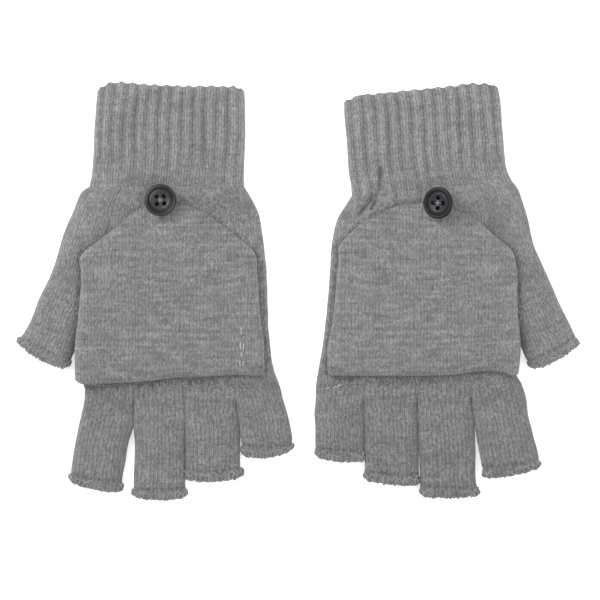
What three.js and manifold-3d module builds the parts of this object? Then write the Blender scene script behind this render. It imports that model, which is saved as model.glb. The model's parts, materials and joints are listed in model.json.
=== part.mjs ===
// A pair of convertible flip-top mittens, lying flat with the backs of the hands up.
//
// Each glove is a set of flattened knitted tubes: a 2x2 rib cuff, the hand, the thumb and four open
// finger stubs, each stub finished with an overcast edge. A mitten flap is a pocket joined to the back
// of the hand along the knuckles. It is folded back here, and its loop is hooked under a sewn-on button.
//
// Millimetres, +Z up. The underside of the hands is the plane z = 0, and +Y runs from the fingertips to
// the cuffs. In each glove's own frame u runs towards the thumb, v towards the cuff, and (0, 0) is the
// middle of the flap's fold line.

import * as THREE from 'three';
import Module from 'manifold-3d';
import { LoftGeometry } from 'three/addons/geometries/LoftGeometry.js';
import { mergeVertices } from 'three/addons/utils/BufferGeometryUtils.js';

const wasm = await Module();
wasm.setup();

// Driving dimensions

const GAP = 0.3;                 // clearance between neighbouring pieces
const HAND_THICKNESS = 7.2;      // hand, cuff and finger tubes, lying flat
const KNIT_THICKNESS = 1.4;      // one wall of those tubes
const FLAP_BOTTOM = 8.8;         // height of the folded flap's lower layer
const FLAP_THICKNESS = 6.8;
const FLAP_WALL = 1.2;
const CROWN_THICKNESS = 3.0;     // the flap where its two layers are drawn together
const RIBS_PER_SIDE = 14;        // 2x2 ribs across the front of a cuff
const RIB_DEPTH = 0.5;
const EDGE_LENGTH = 2.1;         // overcast finish at the end of a stub
const SEAM_RADIUS = 0.5;         // linked seam that joins the flap to the hand
const BUTTON_RADIUS = 7.5;
const TIP_RADIUS = BUTTON_RADIUS + 0.9;  // the crown is a soft tip this far round the button's axis
const BUTTON_HOLE_RADIUS = 0.75;
const BUTTON_HOLE_OFFSET = 1.6;  // from the button's centre, along both of its axes
const BUTTON_UNDERSIDE = -1.4;   // heights in the button, from its middle plane
const BUTTON_DISH = 0.4;
const THREAD_RADIUS = 0.36;
const PAD_RADIUS = 2.9;          // gathered thread between the button and its shank
const PAD_THICKNESS = 0.7;
const SHANK_RADIUS = 1.1;        // wound thread that stands the button off the knit
const LOOP_RADIUS = 4.2;
const LOOP_CORD_RADIUS = 0.65;
const LOOP_HEIGHT = 13.8;        // above the flap's tip and under the button
const TACK_RADIUS = 0.3;         // white tacking thread
const ARC_STEPS = 5;             // facets round each side of a flattened tube
const CUT_TOP = 30;              // above the whole glove, for cuts straight down
const BITE = 0.3;                // how far solids that are joined run into each other

// Facets round each kind of round piece
const FACETS = { tip: 24, button: 36, hole: 10, thread: 8, pad: 14, shank: 10, seam: 8, loop: 20, cord: 6 };

// Outlines. A row is [little-finger side, thumb side], each [u, v], and the rows of a stub run from
// its root to its tip.

const leftGlove = {
  name: 'left',
  side: -1,
  foldCentre: [-60.2, -40.4],
  cuff: [
    [[-34.4, 90.1], [37.2, 90.1]],
    [[-35.2, 104], [36.1, 104]],
    [[-35.4, 122], [36.2, 122]],
    [[-34.6, 137.4], [34.6, 138]],
  ],
  hand: [
    [[-34.6, 89.8], [37.4, 89.8]],
    [[-40.6, 79.5], [45, 79.5]],
    [[-43.8, 68], [50.2, 68]],
    [[-45.3, 54], [55.2, 54]],
    [[-45.8, 38], [61.6, 37]],
    [[-46.1, 26], [39.5, 26]],
    [[-47.4, 10], [39.2, 10]],
    [[-50.2, 1], [39.8, 0]],
    [[-52.6, -8.7], [40.6, -8.7]],
  ],
  thumb: [
    [[40.1, 25.6], [61.9, 36.4]],
    [[43.4, 16], [66.6, 25.6]],
    [[47.2, 6.6], [70.8, 18.8]],
  ],
  fingers: {
    index: [
      [[17.4, -9], [40.6, -9]],
      [[18, -22], [43, -22]],
      [[21.6, -40], [46.1, -40]],
      [[23.4, -50.2], [47.4, -46.4]],
    ],
    middle: [
      [[-6.4, -9], [16.8, -9]],
      [[-6.6, -32], [17, -32]],
      [[-7.4, -54.4], [17.2, -55]],
    ],
    ring: [
      [[-30.6, -9], [-7, -9]],
      [[-32.4, -28], [-7.2, -28]],
      [[-34.1, -45.6], [-8, -46.4]],
    ],
    little: [
      [[-52.7, -9], [-31.2, -9]],
      [[-55.5, -19.7], [-32.4, -19.7]],
      [[-56.8, -33], [-34, -35.2]],
    ],
  },
  flap: [
    [[-44.6, 1.9], [43.6, -2.2]],
    [[-45.6, 12], [44.7, 12]],
    [[-42.8, 28], [43.2, 31]],
    [[-41.2, 43], [42.2, 45]],
    [[-40.1, 58.5], [41.6, 58]],
    [[-33, 66.2], [32, 67]],
    [[-22.5, 74], [22, 74.6]],
    [[-12.5, 80], [13.5, 80.4]],
    [[-6, 82.2], [7, 82.4]],
  ],
  button: { centre: [4.3, 84.4], height: 16.4, tilt: 0, turn: 3 },
  tacking: {
    on: 'flap',
    stitches: [
      [-33.9, 23], [-33.3, 20], [-34, 17.2], [-33.2, 14], [-34.2, 10.5], [-33.2, 8.8], [-33.8, 5.8],
    ],
  },
};

const rightGlove = {
  name: 'right',
  side: 1,
  foldCentre: [58.75, -39],
  cuff: [
    [[-33.8, 84.6], [40.7, 92]],
    [[-35.6, 99], [38.8, 104]],
    [[-36.2, 114], [37.2, 120]],
    [[-36.6, 129.6], [35.6, 136.9]],
  ],
  hand: [
    [[-34, 84.2], [41, 91.7]],
    [[-39.5, 75], [46.4, 80.5]],
    [[-42.6, 66], [50, 68]],
    [[-44, 52], [55.2, 53]],
    [[-44.9, 38], [62.4, 37]],
    [[-46.1, 26.5], [40.4, 26]],
    [[-48.3, 10], [40.6, 10]],
    [[-49.8, 1], [43.4, 1]],
    [[-50.7, -8.7], [47.8, -8.7]],
  ],
  thumb: [
    [[41, 25.6], [62.7, 36.4]],
    [[45, 14.5], [68.3, 24.9]],
    [[49.3, 5.6], [72, 17.2]],
  ],
  fingers: {
    index: [
      [[22.6, -9], [47.9, -9]],
      [[24.4, -24], [50.1, -24]],
      [[27.6, -46.6], [54.8, -42]],
    ],
    middle: [
      [[-2.5, -9], [22, -9]],
      [[-2.1, -24], [23.8, -24]],
      [[-1.5, -40], [26.2, -40]],
      [[-1.3, -55.4], [26.8, -55.4]],
    ],
    ring: [
      [[-27.3, -9], [-3.1, -9]],
      [[-27.3, -30], [-2.7, -30]],
      [[-27.7, -47.6], [-2.5, -49.6]],
    ],
    little: [
      [[-50.7, -9], [-27.9, -9]],
      [[-50.9, -24], [-27.9, -24]],
      [[-50.4, -36.4], [-28.2, -38.6]],
    ],
  },
  flap: [
    [[-43.6, -0.2], [43.6, 0.4]],
    [[-46, 11.5], [45.5, 13]],
    [[-43, 25], [44.9, 26]],
    [[-41, 42], [43.9, 42]],
    [[-39.9, 60], [42, 57.5]],
    [[-33, 68], [34.5, 65.2]],
    [[-22, 75], [23.5, 74]],
    [[-11.5, 79.2], [15, 78]],
    [[-4, 80.6], [8, 80.2]],
  ],
  button: { centre: [6.9, 81.6], height: 18.2, tilt: -26, turn: 42 },
  tacking: {
    on: 'hand',
    stitches: [[-44.6, -3.6], [-43, -5], [-41.4, -3.4], [-40, -5.2], [-38.2, -3.6], [-37, -5]],
  },
};

// Materials: mid-grey heather yarn throughout, charcoal buttons

function yarn(color) {
  return new THREE.MeshStandardMaterial({ color, roughness: 0.95, metalness: 0 });
}

const materials = {
  rib: () => yarn(0x8a8a8c),
  knit: () => yarn(0x868688),
  stub: () => yarn(0x808082),
  edge: () => yarn(0x8c8c8f),
  seam: () => yarn(0x5e5e61),
  loop: () => yarn(0x6c6c6f),
  thread: () => yarn(0x9a9a9c),
  tacking: () => yarn(0xe8e8e6),
  button: () => new THREE.MeshStandardMaterial({ color: 0x3a3a3e, roughness: 0.35, metalness: 0 }),
};

// Solids

/** A closed geometry as a solid. */
function solidOf(geometry) {
  const bare = new THREE.BufferGeometry();
  bare.setAttribute('position', geometry.attributes.position);
  bare.setIndex(geometry.index);
  const merged = mergeVertices(bare, 1e-4);
  const vertProperties = new Float32Array(merged.attributes.position.array);
  const triVerts = new Uint32Array(merged.index.array);
  return new wasm.Manifold(new wasm.Mesh({ numProp: 3, vertProperties, triVerts }));
}

/** A solid as a geometry. */
function geometryOf(solid) {
  const mesh = solid.getMesh();
  const geometry = new THREE.BufferGeometry();
  geometry.setAttribute('position', new THREE.BufferAttribute(mesh.vertProperties, 3));
  geometry.setIndex(new THREE.BufferAttribute(mesh.triVerts, 1));
  geometry.computeVertexNormals();
  return geometry;
}

/** An upright cylinder between two heights, moved to a point of the plan. */
function column(radius, low, high, [x, y], sides) {
  const cylinder = new THREE.CylinderGeometry(radius, radius, high - low, sides);
  cylinder.rotateX(Math.PI / 2);
  cylinder.translate(x, y, (low + high) / 2);
  return solidOf(cylinder);
}

/** One cross-section: its two side points in plan and its lowest and highest z. */
class Row {
  constructor(from, to, low, high) {
    this.from = new THREE.Vector2(...from);
    this.to = new THREE.Vector2(...to);
    this.low = low;
    this.high = high;
  }

  get across() {
    return this.to.clone().sub(this.from).normalize();
  }

  get middle() {
    return this.from.clone().add(this.to).multiplyScalar(0.5);
  }

  inset(wall) {
    const step = this.across.multiplyScalar(wall);
    const from = this.from.clone().add(step);
    const to = this.to.clone().sub(step);
    return new Row(from.toArray(), to.toArray(), this.low + wall, this.high - wall);
  }

  moved(offset) {
    const from = this.from.clone().add(offset);
    const to = this.to.clone().add(offset);
    return new Row(from.toArray(), to.toArray(), this.low, this.high);
  }

  /** Points round the section: flat above and below, round at both sides. */
  ring() {
    const radius = Math.min(this.high - this.low, this.from.distanceTo(this.to)) / 2;
    const centre = (this.high + this.low) / 2;
    const across = this.across;
    const points = [];
    for (const [corner, sign] of [[this.from, -1], [this.to, 1]]) {
      const middle = corner.clone().addScaledVector(across, -sign * radius);
      for (let step = 0; step <= ARC_STEPS; step += 1) {
        const angle = Math.PI * (step / ARC_STEPS);
        const reach = sign * radius * Math.sin(angle);
        const height = -sign * radius * Math.cos(angle);
        const plan = middle.clone().addScaledVector(across, reach);
        points.push(new THREE.Vector3(plan.x, plan.y, centre + height));
      }
    }
    return points;
  }
}

/** A solid lofted through rings of points that follow one another along a direction in plan. */
function loft(rings, across, along) {
  const turnsLeft = across.cross(along) > 0;
  const sections = turnsLeft ? rings.map((ring) => [...ring].reverse()) : rings;
  return solidOf(new LoftGeometry(sections, { capStart: true, capEnd: true }));
}

function direction(rows) {
  return rows.at(-1).middle.sub(rows[0].middle).normalize();
}

function solidTube(rows) {
  const rings = rows.map((row) => row.ring());
  return loft(rings, rows[0].across, direction(rows));
}

/** The same rows with their first and last pushed outwards, so that a cut runs past both ends. */
function lengthened(rows, atStart, atEnd) {
  const first = rows[1].middle.sub(rows[0].middle).normalize();
  const last = rows.at(-1).middle.sub(rows.at(-2).middle).normalize();
  const before = rows[0].moved(first.multiplyScalar(-atStart));
  const after = rows.at(-1).moved(last.multiplyScalar(atEnd));
  return [before, ...rows, after];
}

function bore(rows, wall, atStart = 2, atEnd = 2) {
  const inner = rows.map((row) => row.inset(wall));
  return solidTube(lengthened(inner, atStart, atEnd));
}

/** Rows of an outline in a glove's own frame, with u turned the way that the hand faces. */
function rowsOf(glove, outline, low, high) {
  return outline.map(([from, to]) => new Row(
    [glove.side * from[0], from[1]],
    [glove.side * to[0], to[1]],
    low,
    high,
  ));
}

// Pieces. Each returns a geometry in the glove's own frame.

/** The cuff: a flattened tube whose faces are ribbed along its length. */
function makeCuff(glove) {
  const rows = rowsOf(glove, glove.cuff, 0, HAND_THICKNESS);
  const rings = rows.map((row) => {
    const radius = HAND_THICKNESS / 2;
    const start = row.from.clone().addScaledVector(row.across, radius);
    const end = row.to.clone().addScaledVector(row.across, -radius);
    const plain = row.ring();
    const underside = [];
    const topside = [];
    for (let half = 1; half < 2 * RIBS_PER_SIDE; half += 1) {
      const relief = half % 2 === 0 ? RIB_DEPTH : 0;
      const plan = start.clone().lerp(end, half / (2 * RIBS_PER_SIDE));
      underside.push(new THREE.Vector3(plan.x, plan.y, relief));
      topside.push(new THREE.Vector3(plan.x, plan.y, HAND_THICKNESS - relief));
    }
    const fromSide = plain.slice(0, ARC_STEPS + 1);
    const toSide = plain.slice(ARC_STEPS + 1);
    return [...fromSide, ...underside, ...toSide, ...topside.reverse()];
  });
  const outer = loft(rings, rows[0].across, direction(rows));
  return geometryOf(outer.subtract(bore(rows, KNIT_THICKNESS)));
}

/** The hand: open to the cuff, to the four fingers and to the thumb. */
function makeHand(glove) {
  const rows = rowsOf(glove, glove.hand, 0, HAND_THICKNESS);
  const thumb = rowsOf(glove, glove.thumb, 0, HAND_THICKNESS);
  const thumbPassage = bore(thumb, KNIT_THICKNESS, 12);
  const solid = solidTube(rows).subtract(bore(rows, KNIT_THICKNESS)).subtract(thumbPassage);
  return geometryOf(solid);
}

/** A thumb or finger stub: a short tube, open at both ends. */
function makeStub(glove, outline) {
  const rows = rowsOf(glove, outline, 0, HAND_THICKNESS);
  return geometryOf(solidTube(rows).subtract(bore(rows, KNIT_THICKNESS)));
}

/** The overcast edge that finishes a stub. */
function makeEdge(glove, outline) {
  const rows = rowsOf(glove, outline, 0, HAND_THICKNESS);
  const along = rows.at(-1).middle.sub(rows.at(-2).middle).normalize();
  const start = rows.at(-1).moved(along.clone().multiplyScalar(GAP));
  const end = start.moved(along.clone().multiplyScalar(EDGE_LENGTH - GAP));
  const ring = [start, end];
  return geometryOf(solidTube(ring).subtract(bore(ring, KNIT_THICKNESS)));
}

/** Rows of the flap, which thins towards its crown. */
function flapRows(glove) {
  const rows = rowsOf(glove, glove.flap, FLAP_BOTTOM, FLAP_BOTTOM + FLAP_THICKNESS);
  const crownStart = rows.length - 5;
  return rows.map((row, index) => {
    const thinning = Math.max(0, (index - crownStart) / (rows.length - 1 - crownStart));
    row.high -= (FLAP_THICKNESS - CROWN_THICKNESS) * thinning;
    return row;
  });
}

/** The pocket's two layers, whole: open at the fold line and closed at the crown. */
function flapPocket(glove) {
  const rows = flapRows(glove);
  const inner = rows.slice(0, -2).map((row) => row.inset(FLAP_WALL));
  return solidTube(rows).subtract(solidTube(lengthened(inner, 3, 0.5)));
}

function buttonPoint(glove) {
  const [u, v] = glove.button.centre;
  return [glove.side * u, v];
}

function makeFlap(glove) {
  const around = column(TIP_RADIUS, 0, CUT_TOP, buttonPoint(glove), FACETS.tip);
  return geometryOf(flapPocket(glove).subtract(around));
}

/** The gathered tip of the crown, which slips out from under the button as the flap opens. */
function makeTip(glove) {
  const within = column(TIP_RADIUS - GAP, 0, CUT_TOP, buttonPoint(glove), FACETS.tip);
  const shank = column(SHANK_RADIUS + 3 * GAP, 0, CUT_TOP, shankFoot(glove), FACETS.shank);
  return geometryOf(flapPocket(glove).intersect(within).subtract(shank));
}

/** The seam of linked stitches along the knuckles, on the back of the hand. */
function makeSeam(glove) {
  const [root] = rowsOf(glove, glove.flap, 0, 0);
  const inset = root.inset(HAND_THICKNESS);
  const length = inset.from.distanceTo(inset.to);
  const seam = new THREE.CylinderGeometry(SEAM_RADIUS, SEAM_RADIUS, length, FACETS.seam);
  seam.rotateZ(-Math.PI / 2);
  seam.rotateZ(inset.across.angle());
  seam.translate(inset.middle.x, inset.middle.y, HAND_THICKNESS + GAP + SEAM_RADIUS);
  return seam;
}

/** Turns a geometry made round the button's centre to the way that the button lies. */
function setOnButton(glove, geometry) {
  const { height, tilt, turn } = glove.button;
  const [x, y] = buttonPoint(glove);
  geometry.rotateZ(THREE.MathUtils.degToRad(turn));
  geometry.rotateY(THREE.MathUtils.degToRad(tilt));
  geometry.translate(x, y, height);
  return geometry;
}

/** Where the tilted button's shank meets the back of the hand. */
function shankFoot(glove) {
  const { height, tilt } = glove.button;
  const [x, y] = buttonPoint(glove);
  const drop = height - HAND_THICKNESS;
  return [x - drop * Math.tan(THREE.MathUtils.degToRad(tilt)) / 2, y];
}

const buttonHoles = [[-1, -1], [-1, 1], [1, 1], [1, -1]].map(
  ([x, y]) => [x * BUTTON_HOLE_OFFSET, y * BUTTON_HOLE_OFFSET],
);

/** The button, about its middle plane: raised rim, groove and a dished centre with four holes. */
function makeButton(glove) {
  const profile = [
    [0, BUTTON_UNDERSIDE], [5.2, BUTTON_UNDERSIDE], [6.9, -0.7], [BUTTON_RADIUS, 0.1], [7.2, 1],
    [6.5, 1.5], [5.9, 1.3], [5.3, 0.7], [4.9, 0.6], [4.3, 0.75], [3, 0.5], [0, BUTTON_DISH],
  ].map(([radius, height]) => new THREE.Vector2(radius, height));
  const disc = new THREE.LatheGeometry(profile, FACETS.button);
  disc.rotateX(Math.PI / 2);
  let solid = solidOf(disc);
  for (const hole of buttonHoles) {
    solid = solid.subtract(column(BUTTON_HOLE_RADIUS, -CUT_TOP, CUT_TOP, hole, FACETS.hole));
  }
  return setOnButton(glove, geometryOf(solid));
}

/** The button's thread: a cross over the four holes, its legs, and the wound shank below. */
function makeThread(glove) {
  const crossHeight = BUTTON_DISH + GAP + THREAD_RADIUS;
  const padTop = BUTTON_UNDERSIDE - GAP;
  const padLow = padTop - PAD_THICKNESS;
  let solid = column(PAD_RADIUS, padLow, padTop, [0, 0], FACETS.pad);
  for (const hole of buttonHoles) {
    solid = solid.add(column(THREAD_RADIUS, padTop - BITE, crossHeight, hole, FACETS.thread));
  }
  const reach = 2 * BUTTON_HOLE_OFFSET * Math.SQRT2;
  for (const angle of [Math.PI / 4, -Math.PI / 4]) {
    const strand = new THREE.CapsuleGeometry(THREAD_RADIUS, reach, 2, FACETS.thread);
    strand.rotateZ(angle);
    strand.translate(0, 0, crossHeight);
    solid = solid.add(solidOf(strand));
  }
  const pad = setOnButton(glove, geometryOf(solid));

  const [footX, footY] = shankFoot(glove);
  const [x, y] = buttonPoint(glove);
  const lean = THREE.MathUtils.degToRad(glove.button.tilt);
  const top = new THREE.Vector3(0, 0, padLow + BITE).applyAxisAngle(new THREE.Vector3(0, 1, 0), lean);
  top.add(new THREE.Vector3(x, y, glove.button.height));
  const foot = new THREE.Vector3(footX, footY, HAND_THICKNESS + GAP);
  const shank = new THREE.ExtrudeGeometry(circle(SHANK_RADIUS, FACETS.shank), {
    steps: 1,
    extrudePath: new THREE.LineCurve3(foot, top),
  });
  return geometryOf(solidOf(pad).add(solidOf(shank)));
}

/** A round outline with a chosen number of sides. */
function circle(radius, sides) {
  const points = [];
  for (let side = 0; side < sides; side += 1) {
    const angle = 2 * Math.PI * (side / sides);
    points.push(new THREE.Vector2(radius * Math.cos(angle), radius * Math.sin(angle)));
  }
  return new THREE.Shape(points);
}

/** The elastic loop round the shank, resting on the flap's tip. */
function makeLoop(glove) {
  const loop = new THREE.TorusGeometry(LOOP_RADIUS, LOOP_CORD_RADIUS, FACETS.cord, FACETS.loop);
  const [x, y] = shankFoot(glove);
  loop.translate(x, y + LOOP_CORD_RADIUS, LOOP_HEIGHT);
  return loop;
}

/** The white tacking thread, one running zigzag of stitches on the surface that it was left in. */
function makeTacking(glove) {
  const surface = glove.tacking.on === 'flap' ? FLAP_BOTTOM + FLAP_THICKNESS : HAND_THICKNESS;
  const height = surface + GAP + TACK_RADIUS;
  const points = glove.tacking.stitches.map(
    ([u, v]) => new THREE.Vector3(glove.side * u, v, height),
  );
  return new THREE.ExtrudeGeometry(circle(TACK_RADIUS, FACETS.cord), {
    steps: 4 * points.length,
    extrudePath: new THREE.CatmullRomCurve3(points),
  });
}

// Assembly

function makeGlove(glove) {
  const group = new THREE.Group();
  const add = (name, geometry, material) => {
    const mesh = new THREE.Mesh(geometry, materials[material]());
    mesh.name = `${glove.name}_${name}`;
    group.add(mesh);
  };

  add('cuff', makeCuff(glove), 'rib');
  add('hand', makeHand(glove), 'knit');
  add('thumb', makeStub(glove, glove.thumb), 'stub');
  add('thumb_edge', makeEdge(glove, glove.thumb), 'edge');
  for (const [finger, outline] of Object.entries(glove.fingers)) {
    add(`${finger}_finger`, makeStub(glove, outline), 'stub');
    add(`${finger}_edge`, makeEdge(glove, outline), 'edge');
  }
  add('knuckle_seam', makeSeam(glove), 'seam');
  add('flap', makeFlap(glove), 'knit');
  add('flap_tip', makeTip(glove), 'knit');
  add('button_loop', makeLoop(glove), 'loop');
  add('button', makeButton(glove), 'button');
  add('button_thread', makeThread(glove), 'thread');
  add('tacking_thread', makeTacking(glove), 'tacking');

  group.position.set(glove.foldCentre[0], glove.foldCentre[1], 0);
  return group;
}

const pair = new THREE.Group();
pair.add(makeGlove(leftGlove), makeGlove(rightGlove));

// The origin is the middle of the pair's footprint.
const footprint = new THREE.Box3().setFromObject(pair).getCenter(new THREE.Vector3());
pair.position.set(-footprint.x, -footprint.y, 0);

export default pair;
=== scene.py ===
"""A pair of convertible flip-top mittens, lying flat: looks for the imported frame.

Each knitted tube is one closed mesh, outer and inner wall with a rolled lip at each open end, made from
rows of little-finger side and thumb side points. In each glove's own frame u runs towards the thumb and v
towards the cuff, in millimetres, and (0, 0) is the middle of the flap's fold line.
"""
import json
import math

import bpy
import numpy as np
from mathutils import Matrix, Vector


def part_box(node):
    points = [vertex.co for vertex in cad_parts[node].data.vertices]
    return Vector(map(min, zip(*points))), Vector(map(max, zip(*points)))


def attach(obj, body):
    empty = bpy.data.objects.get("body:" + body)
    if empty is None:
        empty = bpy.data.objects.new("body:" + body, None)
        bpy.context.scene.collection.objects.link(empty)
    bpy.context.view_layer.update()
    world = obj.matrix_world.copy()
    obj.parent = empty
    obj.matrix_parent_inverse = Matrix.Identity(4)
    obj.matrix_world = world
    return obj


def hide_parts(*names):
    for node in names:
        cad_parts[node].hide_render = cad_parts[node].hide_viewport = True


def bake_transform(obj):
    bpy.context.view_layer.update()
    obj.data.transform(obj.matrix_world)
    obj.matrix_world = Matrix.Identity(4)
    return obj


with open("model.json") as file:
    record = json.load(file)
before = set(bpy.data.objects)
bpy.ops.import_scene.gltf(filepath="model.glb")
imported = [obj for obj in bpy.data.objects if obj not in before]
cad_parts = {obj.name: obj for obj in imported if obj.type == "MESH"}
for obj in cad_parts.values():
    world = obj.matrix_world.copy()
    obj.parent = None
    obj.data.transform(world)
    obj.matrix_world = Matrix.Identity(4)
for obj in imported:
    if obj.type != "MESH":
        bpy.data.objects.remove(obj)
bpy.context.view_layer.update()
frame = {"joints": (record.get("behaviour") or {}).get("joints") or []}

MM = 0.001

# ---------------------------------------------------------------- camera, light, floor

VIEW_WIDTH = 0.282          # metres of the floor across the picture
VIEW_MIDDLE = (0.00094, -0.00376)
CAMERA_HEIGHT = 2.4
GLOVE_TOP = 0.006           # metres above the floor where the picture's scale is true
SENSOR = 36.0
SKY = 0.75
FLOOR_REACH = 3.0
FLOOR_DROP = 0.00002        # metres that the floor lies below the gloves

scene = bpy.context.scene
scene.view_settings.view_transform = "Standard"
scene.view_settings.look = "None"

camera_data = bpy.data.cameras.new("camera")
camera_data.sensor_width = SENSOR
camera_data.lens = SENSOR * CAMERA_HEIGHT / VIEW_WIDTH
camera_data.clip_end = 20
camera = bpy.data.objects.new("camera", camera_data)
camera.location = (*VIEW_MIDDLE, CAMERA_HEIGHT + GLOVE_TOP)
scene.collection.objects.link(camera)
scene.camera = camera


def area_light(name, place, size, power, shine=1.0):
    light = bpy.data.lights.new(name, "AREA")
    light.shape = "SQUARE"
    light.size = size
    light.energy = power
    light.specular_factor = shine
    lamp = bpy.data.objects.new(name, light)
    lamp.location = place
    lamp.rotation_euler = (-Vector(place)).to_track_quat("-Z", "Y").to_euler()
    scene.collection.objects.link(lamp)


area_light("key", (-0.8, 0.55, 1.1), 1.0, 14.0)
area_light("fill", (0.9, -0.5, 1.2), 1.2, 6.0, shine=0.15)

world = bpy.data.worlds.new("studio")
scene.world = world
world.use_nodes = True
world.node_tree.nodes["Background"].inputs["Color"].default_value = (1, 1, 1, 1)
world.node_tree.nodes["Background"].inputs["Strength"].default_value = SKY

# ---------------------------------------------------------------- materials


class Shader:
    """One procedural material and short calls for its nodes."""

    def __init__(self, name, **sockets):
        self.material = bpy.data.materials.new(name)
        self.material.use_nodes = True
        self.tree = self.material.node_tree
        self.bsdf = self.tree.nodes["Principled BSDF"]
        for socket, value in sockets.items():
            self.bsdf.inputs[socket.replace("_", " ")].default_value = value

    def link(self, source, socket):
        if isinstance(source, (int, float)):
            socket.default_value = source
        else:
            self.tree.links.new(source, socket)

    def node(self, kind, *sources, **settings):
        """A node with its first inputs fed, and its first output."""
        made = self.tree.nodes.new("ShaderNode" + kind)
        for key, value in settings.items():
            setattr(made, key, value)
        for source, socket in zip(sources, made.inputs):
            self.link(source, socket)
        return made, made.outputs[0]

    def math(self, operation, *sources):
        return self.node("Math", *sources, operation=operation)[1]

    def wave(self, turns):
        """0 to 1 and back, once for each whole turn."""
        cosine = self.math("COSINE", self.math("MULTIPLY", turns, math.tau))
        return self.math("MULTIPLY_ADD", cosine, 0.5, 0.5)

    def sway(self, value, gain, base):
        """A base moved by a noise, which is counted from its middle."""
        return self.math("MULTIPLY_ADD", self.math("SUBTRACT", value, 0.5), gain, base)

    def uv(self):
        split, _ = self.node("SeparateXYZ", self.node("UVMap", uv_map="knit")[1])
        return split.outputs[0], split.outputs[1]

    def vector(self, x, y):
        return self.node("CombineXYZ", x, y)[1]

    def noise(self, vector, scale, detail=2.0, roughness=0.5):
        made, value = self.node("TexNoise", vector)
        for socket, amount in (("Scale", scale), ("Detail", detail), ("Roughness", roughness)):
            made.inputs[socket].default_value = amount
        return value

    def place(self):
        return self.node("TexCoord")[0].outputs["Object"]

    def shade(self):
        return self.node("Attribute", attribute_name="shade")[0].outputs["Fac"]

    def ramp(self, value, stops):
        made, color = self.node("ValToRGB", value)
        while len(made.color_ramp.elements) < len(stops):
            made.color_ramp.elements.new(0.5)
        for element, (place, stop) in zip(made.color_ramp.elements, stops):
            element.position = place
            element.color = (*stop, 1)
        return color

    def color(self, source, factor):
        made, scaled = self.node("VectorMath", source, operation="SCALE")
        self.link(factor, made.inputs["Scale"])
        self.link(scaled, self.bsdf.inputs["Base Color"])

    def bump(self, height, distance):
        made, normal = self.node("Bump")
        made.inputs["Distance"].default_value = distance
        made.inputs["Strength"].default_value = 1.0
        self.link(height, made.inputs["Height"])
        self.link(normal, self.bsdf.inputs["Normal"])


DARK_FIBRE = (0.135, 0.135, 0.141)
MID_FIBRE = (0.235, 0.235, 0.241)
LIGHT_FIBRE = (0.385, 0.385, 0.389)


def knit_material(name, brightness, streaks, depth, mottle, holes=0.0):
    """Heather stocking stitch. The knit map counts wales across and courses along."""
    shader = Shader(name, Roughness=0.95, Sheen_Weight=0.32, Sheen_Roughness=0.5,
                    Specular_IOR_Level=0.15)
    m, sway, noise, vector = shader.math, shader.sway, shader.noise, shader.vector
    wale, course = shader.uv()
    place = vector(wale, course)
    drift = sway(noise(place, 0.3, 1.0), 0.6, wale)
    across = m("MULTIPLY", m("ABSOLUTE", m("SUBTRACT", m("FRACT", drift), 0.5)), 2.0)
    phase = m("MULTIPLY_ADD", across, 0.62, course)
    middle = m("MULTIPLY_ADD", across, 2.0, -1.0)
    envelope = m("SUBTRACT", 1.0, m("MULTIPLY", middle, middle))
    crown = m("SUBTRACT", 1.0, m("MULTIPLY", across, across))
    body = m("MULTIPLY_ADD", envelope, 0.5, m("MULTIPLY", crown, 0.5))
    stitch = m("MULTIPLY", body, m("MULTIPLY_ADD", shader.wave(phase), 0.3, 0.7))
    fibre = noise(vector(m("MULTIPLY", drift, 1.5), m("MULTIPLY", phase, 1.7)), 1.9, 4.0, 0.7)
    tuft = noise(place, 1.5, 2.0, 0.6)
    height = m("MULTIPLY_ADD", fibre, 0.8, m("MULTIPLY_ADD", tuft, 0.7, stitch))

    cell = vector(m("FLOOR", m("MULTIPLY", drift, 2.0)), m("FLOOR", phase))
    tone = sway(shader.node("TexWhiteNoise", cell)[1], 0.42 * mottle, 0.5)
    tone = sway(noise(vector(m("MULTIPLY", wale, 0.22), course), 0.6, 2.0, 0.6), streaks, tone)
    tone = sway(tuft, 0.9 * mottle, tone)
    tone = sway(noise(place, 0.13), 0.4 * mottle, tone)
    tone = sway(fibre, 1.0, tone)
    color = shader.ramp(tone, [(0.0, DARK_FIBRE), (0.5, MID_FIBRE), (1.0, LIGHT_FIBRE)])
    # Painted shade: the colour darkens in the valleys between stitches, and with holes also in the stitch
    # holes.
    lit = m("MULTIPLY_ADD", stitch, depth, 0.97 - 0.55 * depth)
    if holes:
        dot = m("MULTIPLY", m("POWER", m("SUBTRACT", 1.0, body), 2.0), shader.wave(course))
        lit = m("MULTIPLY_ADD", dot, -holes, m("ADD", lit, 0.12 * holes))
    shader.color(color, m("MULTIPLY", lit, m("MULTIPLY", shader.shade(), brightness)))
    shader.bump(height, 0.00042)
    return shader.material


def yarn_material(name, brightness, plies, rise, dark=DARK_FIBRE, light=LIGHT_FIBRE, contrast=1.0):
    """Twisted yarn. The knit map holds turns round the strand and millimetres along it."""
    shader = Shader(name, Roughness=0.93, Sheen_Weight=0.25, Sheen_Roughness=0.5, Specular_IOR_Level=0.2)
    m = shader.math
    around, along = shader.uv()
    turns = m("MULTIPLY_ADD", along, rise, m("MULTIPLY", around, plies))
    twist = m("COSINE", m("MULTIPLY", turns, math.tau))
    fibre = shader.noise(shader.place(), 2600.0, 3.0, 0.6)
    tone = shader.sway(shader.noise(shader.place(), 480.0), 0.9 * contrast, 0.5)
    color = shader.ramp(shader.sway(fibre, 0.7 * contrast, tone), [(0.0, dark), (1.0, light)])
    shader.color(color, m("MULTIPLY", m("MULTIPLY_ADD", twist, 0.1 * contrast, 0.9), brightness))
    shader.bump(m("MULTIPLY_ADD", fibre, 0.5, m("MULTIPLY", twist, 0.5)), 0.00012)
    return shader.material


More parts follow.
